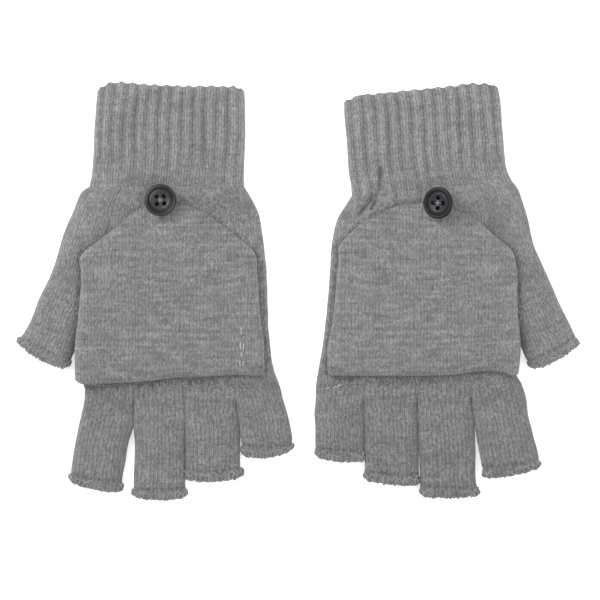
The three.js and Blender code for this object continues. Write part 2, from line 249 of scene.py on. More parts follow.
def button_material(name, gloss, coat):
    """Moulded charcoal plastic: satin, lighter with wear and darker with painted shade where the shade map
    says, with fine scuffs.
    """
    shader = Shader(name, Specular_IOR_Level=gloss, Coat_Weight=coat, Coat_Roughness=0.15)
    swirl = shader.noise(shader.place(), 260.0, 4.0, 0.6)
    grain = shader.noise(shader.place(), 1500.0, 3.0, 0.6)
    color = shader.ramp(swirl, [(0.3, (0.013, 0.0125, 0.015)), (0.75, (0.023, 0.022, 0.027))])
    shader.color(color, shader.shade())
    shader.link(shader.math("MULTIPLY_ADD", grain, 0.25, 0.22), shader.bsdf.inputs["Roughness"])
    shader.bump(grain, 0.00003)
    return shader.material


def floor_material():
    shader = Shader("paper_floor", Roughness=0.9, Specular_IOR_Level=0.1, Emission_Strength=0.5)
    grain = shader.noise(shader.place(), 900.0)
    paper = shader.ramp(grain, [(0.0, (0.955, 0.955, 0.955)), (1.0, (0.985, 0.985, 0.985))])
    for socket in ("Base Color", "Emission Color"):
        shader.link(paper, shader.bsdf.inputs[socket])
    return shader.material


RIB = knit_material("rib_knit", 1.1, streaks=0.6, depth=0.42, mottle=1.05, holes=0.5)
PLAIN = knit_material("plain_knit", 1.02, streaks=0.5, depth=0.55, mottle=1.4)
FINGER = knit_material("finger_knit", 0.815, streaks=0.5, depth=0.5, mottle=1.1)
THUMB = knit_material("thumb_knit", 0.95, streaks=0.5, depth=0.45, mottle=1.15)
FLAP = knit_material("flap_knit", 0.92, streaks=1.1, depth=0.24, mottle=1.0)
OVERCAST = yarn_material("overcast_yarn", 0.93, plies=2.0, rise=0.7, contrast=1.5)
# Half-bright yarn for the knuckle seam: painted shade, dark like the shadowed stitch holes under the flap's
# mouth.
SHADOWED_SEAM = yarn_material("seam_yarn", 0.5, plies=2.0, rise=0.7)
CORD = yarn_material("loop_cord", 0.8, plies=3.0, rise=0.6)
# The right button's copy is less glossy, so that its face, tilted towards the key light, reflects less: a
# shaded copy of the left one.
BUTTONS = {"left": button_material("charcoal_button", gloss=0.4, coat=0.2),
           "right": button_material("worn_charcoal_button", gloss=0.2, coat=0.08)}
THREAD, SHADE_DARK_THREAD, WHITE = (
    yarn_material(name, 1.0, 2.0, 1.6, dark, light) for name, dark, light in (
        ("button_thread", (0.12, 0.12, 0.13), (0.28, 0.28, 0.29)),
        ("shank_thread", (0.008, 0.008, 0.009), (0.02, 0.02, 0.022)),
        ("white_thread", (0.55, 0.55, 0.56), (0.85, 0.85, 0.86))))


def plane(name, low, high, z):
    """A level rectangle between two corners, in metres."""
    (x0, y0), (x1, y1) = low, high
    mesh = bpy.data.meshes.new(name)
    mesh.from_pydata([(x0, y0, z), (x1, y0, z), (x1, y1, z), (x0, y1, z)], [], [(0, 1, 2, 3)])
    made = bpy.data.objects.new(name, mesh)
    scene.collection.objects.link(made)
    return made


floor = plane("floor", (-FLOOR_REACH, -FLOOR_REACH), (FLOOR_REACH, FLOOR_REACH), 0.0)
floor.location.z = -FLOOR_DROP
floor.data.materials.append(floor_material())

# ---------------------------------------------------------------- curves and meshes


def along_line(points):
    """Distance of each point of a polyline from its first, along the line."""
    return np.concatenate([[0], np.cumsum(np.linalg.norm(np.diff(points, axis=0), axis=1))])


def unit(vectors):
    """Vectors made 1 long."""
    return vectors / np.maximum(np.linalg.norm(vectors, axis=-1, keepdims=True), 1e-9)


def smooth_through(values, at, t):
    """Cubic curve through values, given at the rising parameters at, read at t."""
    values, at = np.asarray(values, float), np.asarray(at, float)
    step = np.diff(at)
    slope = np.diff(values, axis=0) / step[:, None]
    tangent = np.empty_like(values)
    tangent[0], tangent[-1] = slope[0], slope[-1]
    before, after = step[:-1, None], step[1:, None]
    tangent[1:-1] = (slope[:-1] * after + slope[1:] * before) / (before + after)
    k = np.clip(np.searchsorted(at, t, side="right") - 1, 0, len(at) - 2)
    h = step[k][:, None]
    x = ((t - at[k]) / step[k])[:, None]
    return ((2 * x ** 3 - 3 * x ** 2 + 1) * values[k] + (x ** 3 - 2 * x ** 2 + x) * h * tangent[k]
            + (3 * x ** 2 - 2 * x ** 3) * values[k + 1] + (x ** 3 - x ** 2) * h * tangent[k + 1])


def smoothstep(x):
    x = np.clip(x, 0, 1)
    return x * x * (3 - 2 * x)


def signed_volume(points, quads):
    a, b, c, d = (points[quads[:, k]] for k in range(4))
    return np.einsum("ij,ij->", a, np.cross(b, c)) + np.einsum("ij,ij->", a, np.cross(c, d))


def add_mesh(name, points, quads, loop_uv, material, shade=None, triangles=None, flat=None):
    """A mesh object from points in millimetres, quads and a knit map given per face corner."""
    if signed_volume(points, quads) < 0:
        quads, loop_uv = quads[:, ::-1], loop_uv[:, ::-1]
        if triangles is not None:
            triangles = triangles[:, ::-1]
    mesh = bpy.data.meshes.new(name)
    faces = quads.tolist() + ([] if triangles is None else triangles.tolist())
    mesh.from_pydata((points * MM).tolist(), [], faces)
    layer = mesh.uv_layers.new(name="knit")
    corners = loop_uv.reshape(-1, 2)
    if triangles is not None:
        corners = np.concatenate([corners, np.zeros((3 * len(triangles), 2))])
    layer.data.foreach_set("uv", corners.astype(np.float32).ravel())
    if shade is not None:
        mesh.attributes.new("shade", "FLOAT", "POINT").data.foreach_set("value", shade.astype(np.float32))
    smooth = np.ones(len(mesh.polygons), bool)
    if flat is not None:
        smooth[:len(flat)] = ~flat
    mesh.polygons.foreach_set("use_smooth", smooth)
    mesh.materials.append(material)
    mesh.update()
    made = bpy.data.objects.new(name, mesh)
    scene.collection.objects.link(made)
    return made


def grid_quads(rows, columns, closed_rows, closed_columns):
    """Quads of a grid, and for each corner its place in a map that has one more row and column."""
    i = np.arange(rows if closed_rows else rows - 1)[:, None]
    j = np.arange(columns if closed_columns else columns - 1)[None, :]
    corners, places = [], []
    for di, dj in ((0, 0), (0, 1), (1, 1), (1, 0)):
        corners.append(((i + di) % rows) * columns + (j + dj) % columns)
        places.append((i + di) * (columns + closed_columns) + j + dj)
    return (np.stack(np.broadcast_arrays(*corners), -1).reshape(-1, 4),
            np.stack(np.broadcast_arrays(*places), -1).reshape(-1, 4))


def sweep(path, radius, sides, closed=False):
    """Round strand along a path. Returns its grid of points and its knit map."""
    ahead = np.roll(path, -1, 0) - np.roll(path, 1, 0)
    if not closed:
        ahead[0], ahead[-1] = path[1] - path[0], path[-1] - path[-2]
    ahead = unit(ahead)
    up = np.empty_like(path)
    guess = np.array([0.0, 0, 1]) if abs(ahead[0][2]) < 0.9 else np.array([1.0, 0, 0])
    for k in range(len(path)):
        guess = unit(guess - ahead[k] * (guess @ ahead[k]))
        up[k] = guess
    side = np.cross(ahead, up)
    radius = np.broadcast_to(radius, len(path))
    turn = np.arange(sides) / sides * math.tau
    ring = np.cos(turn)[None, :, None] * up[:, None] + np.sin(turn)[None, :, None] * side[:, None]
    grid = path[:, None] + ring * radius[:, None, None]
    along = along_line(path)
    if closed:
        along = np.append(along, along[-1] + np.linalg.norm(path[0] - path[-1]))
    around = np.arange(sides + 1) / sides
    return grid, np.stack(np.broadcast_arrays(around[None, :], along[:, None]), -1)


def end_caps(rows, columns):
    """Quads over the first and last row of a tube with an even number of columns."""
    first = [[j, j + 1, columns - j - 2, columns - j - 1] for j in range(columns // 2 - 1)]
    last = np.array(first) + (rows - 1) * columns
    return np.concatenate([np.array(first)[:, ::-1], last])


ROUND_TIP = (0.12, 0.72)    # shares of a strand's radius at its last two rings


def strands(name, paths, radius, material, sides=8, closed=False):
    """Several round strands as one mesh, each closed on itself or with rounded ends."""
    points, quads, maps, start = [], [], [], 0
    for path in paths:
        path = np.asarray(path, float)
        if closed:
            grid, uv = sweep(path, radius, sides, True)
        else:
            tip = 0.6 * radius * unit(path[0] - path[1])
            tail = 0.6 * radius * unit(path[-1] - path[-2])
            path = np.vstack([path[0] + tip, path[0] + 0.6 * tip, path,
                              path[-1] + 0.6 * tail, path[-1] + tail])
            sizes = np.full(len(path), float(radius))
            sizes[[0, -1]] = ROUND_TIP[0] * radius
            sizes[[1, -2]] = ROUND_TIP[1] * radius
            grid, uv = sweep(path, sizes, sides)
        faces, places = grid_quads(len(grid), sides, closed, True)
        points.append(grid.reshape(-1, 3))
        quads.append(faces + start)
        maps.append(uv.reshape(-1, 2)[places])
        if not closed:
            caps = end_caps(len(grid), sides)
            quads.append(caps + start)
            maps.append(np.zeros((len(caps), 4, 2)))
        start += len(grid) * sides
    return add_mesh(name, *(np.concatenate(parts) for parts in (points, quads, maps)), material)


# ---------------------------------------------------------------- knitted tubes

RIBS = 14                   # ribs across one face of a cuff
RIB_WALES = 4               # two knit and two purl columns to a rib
RIB_COLUMNS = 12            # mesh columns to a rib
WALE, COURSE = 1.6, 1.15    # millimetres from one column, and one row, of stitches to the next
FINGER_WALES, THUMB_WALES = 15, 17
PALM_WALES = 4 * FINGER_WALES
PALM_ROWS = 81.5            # stitch rows from the wrist to the fingers, which count on from there
MAP_START = 200.0           # row that the knit maps of the hand begin at
HAND_HIGH = 7.0             # millimetres above the floor, as the rest here
FLAP_LOW, FLAP_HIGH = 7.9, 14.4
GRID, FINE_GRID = 0.9, 0.4  # millimetres between the points of a tube, and near its free end
CORNER_STEPS = 24           # points that its rounded side is measured with
SIDE_COLUMNS = 8            # mesh columns in that side
JOIN_OVERLAP = 0.5          # millimetres that tubes run on into each other where they join
JOIN_DIVE = 0.4             # and how far they dive under each other's surface there
CROWN_START, CROWN_REACH = 50.0, 27.0       # v where the flap starts to thin, and over how far it does
MOUTH_REACH = 16.0          # millimetres over which the flap thins towards its mouth
LOWEST = 0.03               # millimetres above the floor for the lowest thread of any tube
INNER_CLEARANCE = 0.4       # and for the inner walls above that

CAGE_STEP = 3.6             # millimetres between the points of a simulated cage
CAGE_SCALE = 10.0           # the cage is simulated enlarged, which suits the solver's own tolerances
CLOTH_FRAMES = 24
CLOTH = dict(quality=6, mass=0.004, tension_stiffness=20, compression_stiffness=12, shear_stiffness=4,
             bending_stiffness=0.4, use_pressure=True, uniform_pressure_force=6, vertex_group_mass="held")
BED_MARGIN, BED_DROP = 20, 0.4      # millimetres that the bed reaches past the tube, and lies below it
BODY = 0.4                  # how strongly a knitted tube keeps its own shape, from 0 to 1
MOST_SIDEWAYS, MOST_UP, MOST_DOWN = 0.35, 1.1, 0.7
FADE_ROWS, FADE_COLUMNS = 6, 7


def ripple(x, y, seed, wave):
    """Smooth seeded unevenness of the cloth, about -1 to 1, with bumps about wave millimetres long."""
    random = np.random.default_rng(seed)
    total = np.zeros_like(x)
    for _ in range(7):
        angle = random.uniform(0, math.tau)
        pace = math.tau / (wave * random.uniform(0.7, 1.6))
        total += np.sin((x * math.cos(angle) + y * math.sin(angle)) * pace + random.uniform(0, math.tau))
    return total / 3.2


def drift(x, y):
    """Moves of the plan: the slight waviness that the tubes and the flap's seam share."""
    return 0.26 * ripple(x, y, 11, 26), 0.2 * ripple(x, y, 12, 24)


def normals_out(grid):
    """Unit normals of a closed tube's grid, whose columns are periodic, turned outwards."""
    normal = unit(np.cross(np.gradient(grid, axis=0), np.roll(grid, -1, 1) - np.roll(grid, 1, 1)))
    centre = grid.mean(axis=1, keepdims=True)
    return -normal if np.einsum("ijk,ijk->", normal, grid - centre) < 0 else normal


def distance_to(points, line):
    """Distance of each 2-D point from an open polyline."""
    best = np.full(len(points), 1e9)
    for a, b in zip(line[:-1], line[1:]):
        edge = b - a
        size = edge @ edge
        if size < 1e-12:
            continue
        t = np.clip(((points - a) @ edge) / size, 0, 1)
        best = np.minimum(best, np.linalg.norm(points - a - t[:, None] * edge, axis=1))
    return best


def fade_from(held):
    """How freely each point of a tube's grid may move: 0 where it is held, 1 some points away from that."""
    rows, columns = held.shape
    fade = np.ones((rows, columns))
    whole = held.min(axis=1)
    for end in (slice(None), slice(None, None, -1)):
        if whole[end][0] > 0:
            fade *= smoothstep((np.arange(rows)[end] - 1) / FADE_ROWS)[:, None]
    for shift in range(-FADE_COLUMNS, FADE_COLUMNS + 1):
        near = np.roll(held, shift, axis=1) * (1 - smoothstep(abs(shift) / FADE_COLUMNS))
        fade = np.minimum(fade, 1 - near * (whole < 1)[:, None])
    return fade


def settle(outer, held, low):
    """Cloth simulation of one tube: its moves in millimetres, for every point of the fine grid.

    A coarse cage of the tube, held where it joins its neighbours, is blown up a little and lies under
    gravity on the surface below it. Its moves, limited so that the tube keeps its place, are spread
    smoothly over the fine grid.
    """
    rows, columns = outer.shape[:2]
    long = along_line(outer[:, columns // 4])[-1]
    round_way = along_line(outer[rows // 2])[-1]
    at_rows = np.unique(np.linspace(0, rows - 1, max(5, int(long / CAGE_STEP))).astype(int))
    at_columns = np.linspace(0, columns, max(16, int(round_way / CAGE_STEP)), endpoint=False)
    at_columns = np.unique(at_columns.astype(int))
    points = outer[np.ix_(at_rows, at_columns)]
    pins = np.maximum(held[np.ix_(at_rows, at_columns)].ravel(), BODY)
    quads, _ = grid_quads(len(at_rows), len(at_columns), False, True)
    if signed_volume(points.reshape(-1, 3), quads) < 0:
        quads = quads[:, ::-1]
    mesh = bpy.data.meshes.new("cage")
    mesh.from_pydata((points.reshape(-1, 3) * MM * CAGE_SCALE).tolist(), [], quads.tolist())
    cage = bpy.data.objects.new("cage", mesh)
    scene.collection.objects.link(cage)
    group = cage.vertex_groups.new(name="held")
    for k, pin in enumerate(pins):
        group.add([k], float(pin), "REPLACE")

    plan = outer[..., :2]
    bed = plane("bed", (plan.min(axis=(0, 1)) - BED_MARGIN) * MM * CAGE_SCALE,
                (plan.max(axis=(0, 1)) + BED_MARGIN) * MM * CAGE_SCALE, (low - BED_DROP) * MM * CAGE_SCALE)
    bed.modifiers.new("collision", "COLLISION")
    bed.collision.thickness_outer = 0.002
    cloth = cage.modifiers.new("cloth", "CLOTH")
    for key, value in CLOTH.items():
        setattr(cloth.settings, key, value)
    cloth.collision_settings.distance_min = 0.003
    for step in range(1, CLOTH_FRAMES + 1):
        scene.frame_set(step)
    moved = cage.evaluated_get(bpy.context.evaluated_depsgraph_get()).data
    found = np.empty(len(moved.vertices) * 3, np.float32)
    moved.vertices.foreach_get("co", found)
    move = found.reshape(points.shape).astype(float) / (MM * CAGE_SCALE) - points
    scene.frame_set(1)
    for helper in (cage, bed):
        data = helper.data
        bpy.data.objects.remove(helper)
        bpy.data.meshes.remove(data)

    move[..., :2] = MOST_SIDEWAYS * np.tanh(move[..., :2] / MOST_SIDEWAYS)
    most = np.where(move[..., 2] > 0, MOST_UP, MOST_DOWN)
    move[..., 2] = most * np.tanh(move[..., 2] / most)
    move = smooth_through(move.reshape(len(at_rows), -1), at_rows, np.arange(rows))
    move = move.reshape(rows, len(at_columns), 3)
    around = np.concatenate([at_columns[-3:] - columns, at_columns, at_columns[:3] + columns])
    wrapped = np.concatenate([move[:, -3:], move, move[:, :3]], axis=1).transpose(1, 0, 2)
    spread = smooth_through(wrapped.reshape(len(around), -1), around, np.arange(columns))
    return spread.reshape(columns, rows, 3).transpose(1, 0, 2)


def section(width_left, width_right, span, half):
    """One face of a tube, rounded at its sides: places across it, heights and distances along the face."""
    bend = np.linspace(0, math.pi / 2, CORNER_STEPS)
    corner = 1 - np.cos(bend)
    level = np.linspace(width_left, span - width_right, CORNER_STEPS)[1:-1]
    x = np.concatenate([width_left * corner, level, span - width_right * corner[::-1]])
    z = np.concatenate([np.sin(bend), np.ones(CORNER_STEPS - 2), np.sin(bend)[::-1]]) * half
    return x, z, np.concatenate([[0], np.cumsum(np.hypot(np.diff(x), np.diff(z)))])


def middle_line(flat):
    """The line along the middle column of a face."""
    return flat[:, flat.shape[1] // 2]


class Glove:
    """One glove: its plan, its place in the frame and the making of its knitted tubes."""

    def __init__(self, name, plan):
        self.name, self.plan, self.side = name, plan, plan["side"]
        low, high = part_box(f"{name}_knuckle_seam")
        middle = (low + high) / 2 / MM
        u, v = plan["seam_middle"]
        self.origin = np.array([middle.x - self.side * u, middle.y - v])

    def world(self, u, v):
        return self.side * u + self.origin[0], v + self.origin[1]

    def tube(self, limb, width=8.0, wall=1.4, free_left=None, free_right=None, lips=(False, True),
             wales=PALM_WALES, course=COURSE, end_shape=None, start_shape=None, end_reach=9.0, ribs=False,
             crown=False, material=PLAIN, relief=None, fine_end=0.0, map_from=(0.0, MAP_START)):
        """One flattened tube through the plan's rows. Returns (grid of its outer points, the object)."""
        low, high = (FLAP_LOW, FLAP_HIGH) if crown else (0.0, HAND_HIGH)
        rows = self.plan[limb]
        at = along_line(rows.mean(axis=1))
        length = at[-1]
        count = max(6, int(round((length - fine_end) / GRID)) + 1)
        t = np.linspace(0, length - fine_end, count)
        if fine_end:
            t = np.append(t, np.linspace(length - fine_end, length, int(fine_end / FINE_GRID) + 1)[1:])
        if crown:
            t = length * (1 - (1 - np.linspace(0, 1, count)) ** 1.25)
        else:
            before = [] if lips[0] else [-JOIN_OVERLAP]
            after = [] if lips[1] else [length + JOIN_OVERLAP]
            t = np.concatenate([before, t, after])
        count = len(t)
        sides = smooth_through(rows.reshape(len(rows), 4), at, t)
        left, right = sides[:, :2], sides[:, 2:]
        span = np.linalg.norm(right - left, axis=1)

        def closure(free, side_points):
            if free is None:
                return np.ones(count)
            return smoothstep((free[0] - side_points[:, 1]) / free[1])

        closed_left, closed_right = closure(free_left, left), closure(free_right, right)
        width_left, width_right = (np.minimum(np.maximum(width * closed, 1e-3), span * 0.47)
                                   for closed in (closed_left, closed_right))
        half = (high - low) / 2
        if ribs:
            half_columns = RIBS * RIB_COLUMNS
        elif crown:
            half_columns = int(round((span.max() + 5) / GRID))
        else:
            half_columns = 2 * SIDE_COLUMNS + max(6, int(round((span.max() - 2 * width) / GRID)))
        across = np.empty((count, half_columns + 1))
        rise = np.empty_like(across)
        share_along = np.empty_like(across)
        for i in range(count):
            x, z, arc = section(width_left[i], width_right[i], span[i], half)
            if ribs or crown:
                pick = np.linspace(0, arc[-1], half_columns + 1)
            else:
                pick = np.interp(np.arange(half_columns + 1),
                                 [0, SIDE_COLUMNS, half_columns - SIDE_COLUMNS, half_columns],
                                 [0, arc[CORNER_STEPS - 1], arc[-CORNER_STEPS], arc[-1]])
            across[i] = np.interp(pick, arc, x)
            rise[i] = np.interp(pick, arc, z)
            share_along[i] = pick / arc[-1]
        share = across / span[:, None]
        flat = left[:, None] + share[..., None] * (right - left)[:, None]
        tangent = unit(np.gradient(middle_line(flat), axis=0))
        for shape, far in ((end_shape, length - t), (start_shape, t)):
            if shape is not None:
                moved = smoothstep(1 - far / end_reach)[:, None] * shape(share)
                flat = flat + moved[..., None] * tangent[:, None]
        middle_z = np.full((count, 1), (low + high) / 2)
        if crown:
            edge = np.concatenate([left, right[::-1]])
            away = distance_to(flat.reshape(-1, 2), edge).reshape(share.shape)
            shape = np.sqrt(np.clip(1 - (1 - np.clip(away / width, 0, 1)) ** 2, 0, 1))
            sunk = smoothstep(((left + right)[:, 1:] / 2 - CROWN_START) / CROWN_REACH)
            lowered = (1 - smoothstep(t / MOUTH_REACH))[:, None]
            rise = half * np.maximum(shape, 0.05) * (1 - 0.5 * sunk - 0.42 * lowered)
            middle_z = middle_z - (0.55 * sunk + 0.38 * lowered) * half
        top = np.concatenate([flat, (middle_z + rise)[..., None]], -1)
        bottom = np.concatenate([flat, (middle_z - rise)[..., None]], -1)[:, ::-1]
        ring = np.concatenate([top[:, :-1], bottom[:, :-1]], axis=1)

        along = along_line(middle_line(flat))
        if crown:
            over, under = flat[..., 0] / WALE, (2 * flat[:, -1:, 0] - flat[..., 0]) / WALE
        else:
            over, under = share_along * wales, (2 - share_along) * wales
        wale = np.concatenate([over[:, :-1], under[:, ::-1]], axis=1)
        uv = np.stack(np.broadcast_arrays(wale + map_from[0], along[:, None] / course + map_from[1]), -1)

        x, y = self.world(ring[..., 0], ring[..., 1])
        outer = np.stack([x, y, ring[..., 2]], -1)
        index = np.arange(2 * half_columns)
        held = np.zeros(x.shape)
        held[:2] = not lips[0] or crown
        held[-2:] = not lips[1] or crown
        if not (ribs or crown):
            left_wall = (index < SIDE_COLUMNS) | (index >= 2 * half_columns - SIDE_COLUMNS)
            right_wall = np.abs(index + 0.5 - half_columns) < SIDE_COLUMNS
            for closed, side_wall in ((closed_left, left_wall), (closed_right, right_wall)):
                held = np.maximum(held, (1 - closed)[:, None] * side_wall)
        outer = outer + settle(outer, held, low) * fade_from(held)[..., None]
        top_share = np.clip((outer[..., 2] - low) / (high - low), 0, 1)
        shade = np.ones(x.shape)
        if relief is not None:
            outer, shade = relief(outer, ring, wale[:, :-1] / wales, along, tangent)
        # Painted light and shade: soft lighter and darker patches on the knit, such as lighter rounded edges
        # and shade along the flap's edges.
        for u, v, reach_u, reach_v, gain in self.plan["painted_light_and_shade"]["flap" if crown else "under"]:
            away = ((ring[..., 0] - u) / reach_u) ** 2 + ((ring[..., 1] - v) / reach_v) ** 2
            shade = shade * (1 + gain * np.exp(-away))
        for axis, move in enumerate(drift(x, y)):
            outer[..., axis] += move
        outer[..., 2] += top_share ** 1.5 * (0.36 * ripple(x, y, 13, 24) + 0.16 * ripple(x, y, 14, 9))
        walls_flat = (held > 0.88) & (np.minimum(closed_left, closed_right) < 0.12)[:, None]
        walls_flat[[1, -2]] = False
        for end, row, lipped in ((0, 0, lips[0]), (-1, -2, lips[1])):
            if not (lipped or crown):
                outer[end] -= normals_out(outer)[end] * JOIN_DIVE
                walls_flat[row] = True
        outer[..., 2] = np.maximum(outer[..., 2], LOWEST)
        name = f"{self.name}_{limb}_knit"
        return outer, close_tube(name, outer, uv, shade, wall, crown, lips, material, walls_flat)


def close_tube(name, outer, uv, shade, wall, crown, lips, material, walls_flat):
    """Joins outer and inner wall, through rolled lips where an end is free, into one closed mesh."""
    count, columns = outer.shape[:2]
    normal = normals_out(outer)
    inner = outer - normal * wall
    inner[..., 2] = np.maximum(inner[..., 2], LOWEST + INNER_CLEARANCE)
    inner_rows = np.unique(np.round(np.linspace(0, count - 1, max(4, count // 3))).astype(int))
    rings = []

    def put(points, places, tone, flat_faces=False):
        rings.append((points, places, tone, np.broadcast_to(flat_faces, columns)))

    def put_lip(row, ahead, step):
        away = outer[row] - outer[ahead]
        away = unit(away - normal[row] * np.einsum("ij,ij->i", away, normal[row])[:, None])
        for n, turn in enumerate(np.linspace(0, math.pi, 7)[1:-1][::step]):
            points = outer[row] + wall / 2 * (away * math.sin(turn) - normal[row] * (1 - math.cos(turn)))
            put(points, uv[row] + [0, 0.5 * (n + 1 if step > 0 else n - 5)], shade[row])

    def put_inner():
        for k in inner_rows[::-1]:
            put(inner[k], uv[k], shade[k])

    def put_outer():
        for k in range(count):
            put(outer[k], uv[k], shade[k], walls_flat[k])

    triangles = flat = None
    if crown:
        put_inner()
        put_lip(0, 1, -1)
        put_outer()
        blocks, maps, painted_light_and_shade, _ = zip(*rings)
        quads, places = grid_quads(len(rings), columns, False, True)
        loop_uv = np.concatenate(maps).reshape(-1, 2)[places]
        half = columns // 2
        ends, triangles = [], []
        for base, turned in ((0, True), ((len(rings) - 1) * columns, False)):
            faces = [[base + j, base + j + 1, base + columns - j - 1, base + columns - j]
                     for j in range(1, half - 1)]
            corners = [[base, base + 1, base + columns - 1], [base + half - 1, base + half, base + half + 1]]
            ends += [face[::-1] if turned else face for face in faces]
            triangles += [face[::-1] if turned else face for face in corners]
        quads = np.concatenate([quads, np.array(ends)])
        loop_uv = np.concatenate([loop_uv, np.zeros((len(ends), 4, 2))])
        triangles = np.array(triangles)
    else:
        for lipped, put_wall, row, ahead, step in (
                (lips[1], put_outer, -1, -2, 1), (lips[0], put_inner, 0, 1, -1)):
            put_wall()
            if lipped:
                put_lip(row, ahead, step)
            else:
                rings[-1] = (*rings[-1][:3], np.ones(columns, bool))
        blocks, maps, painted_light_and_shade, flats = zip(*rings)
        quads, places = grid_quads(len(rings), columns, True, True)
        loop_uv = np.concatenate([*maps, maps[0]]).reshape(-1, 2)[places]
        flat = np.concatenate(flats)
    return add_mesh(name, np.concatenate(blocks), quads, loop_uv, material, np.concatenate(painted_light_and_shade), triangles,
                    flat)


# ---------------------------------------------------------------- plans of the two gloves


def outline(*rows):
    """Rows of a tube, each given as its little-finger side's u and v and its thumb side's."""
    return np.array(rows, float).reshape(-1, 2, 2)


def profile(*points):
    """A function of the share across a face, straight between (share, millimetres) points."""
    places, values = zip(*points)
    return lambda share: np.interp(share, places, values)


EARLY, LATE = (-8.0, 12.0), (-17.0, 14.0)   # v where a finger comes free of its neighbour, and over how far
FINGERS = ("index", "middle", "ring", "little")
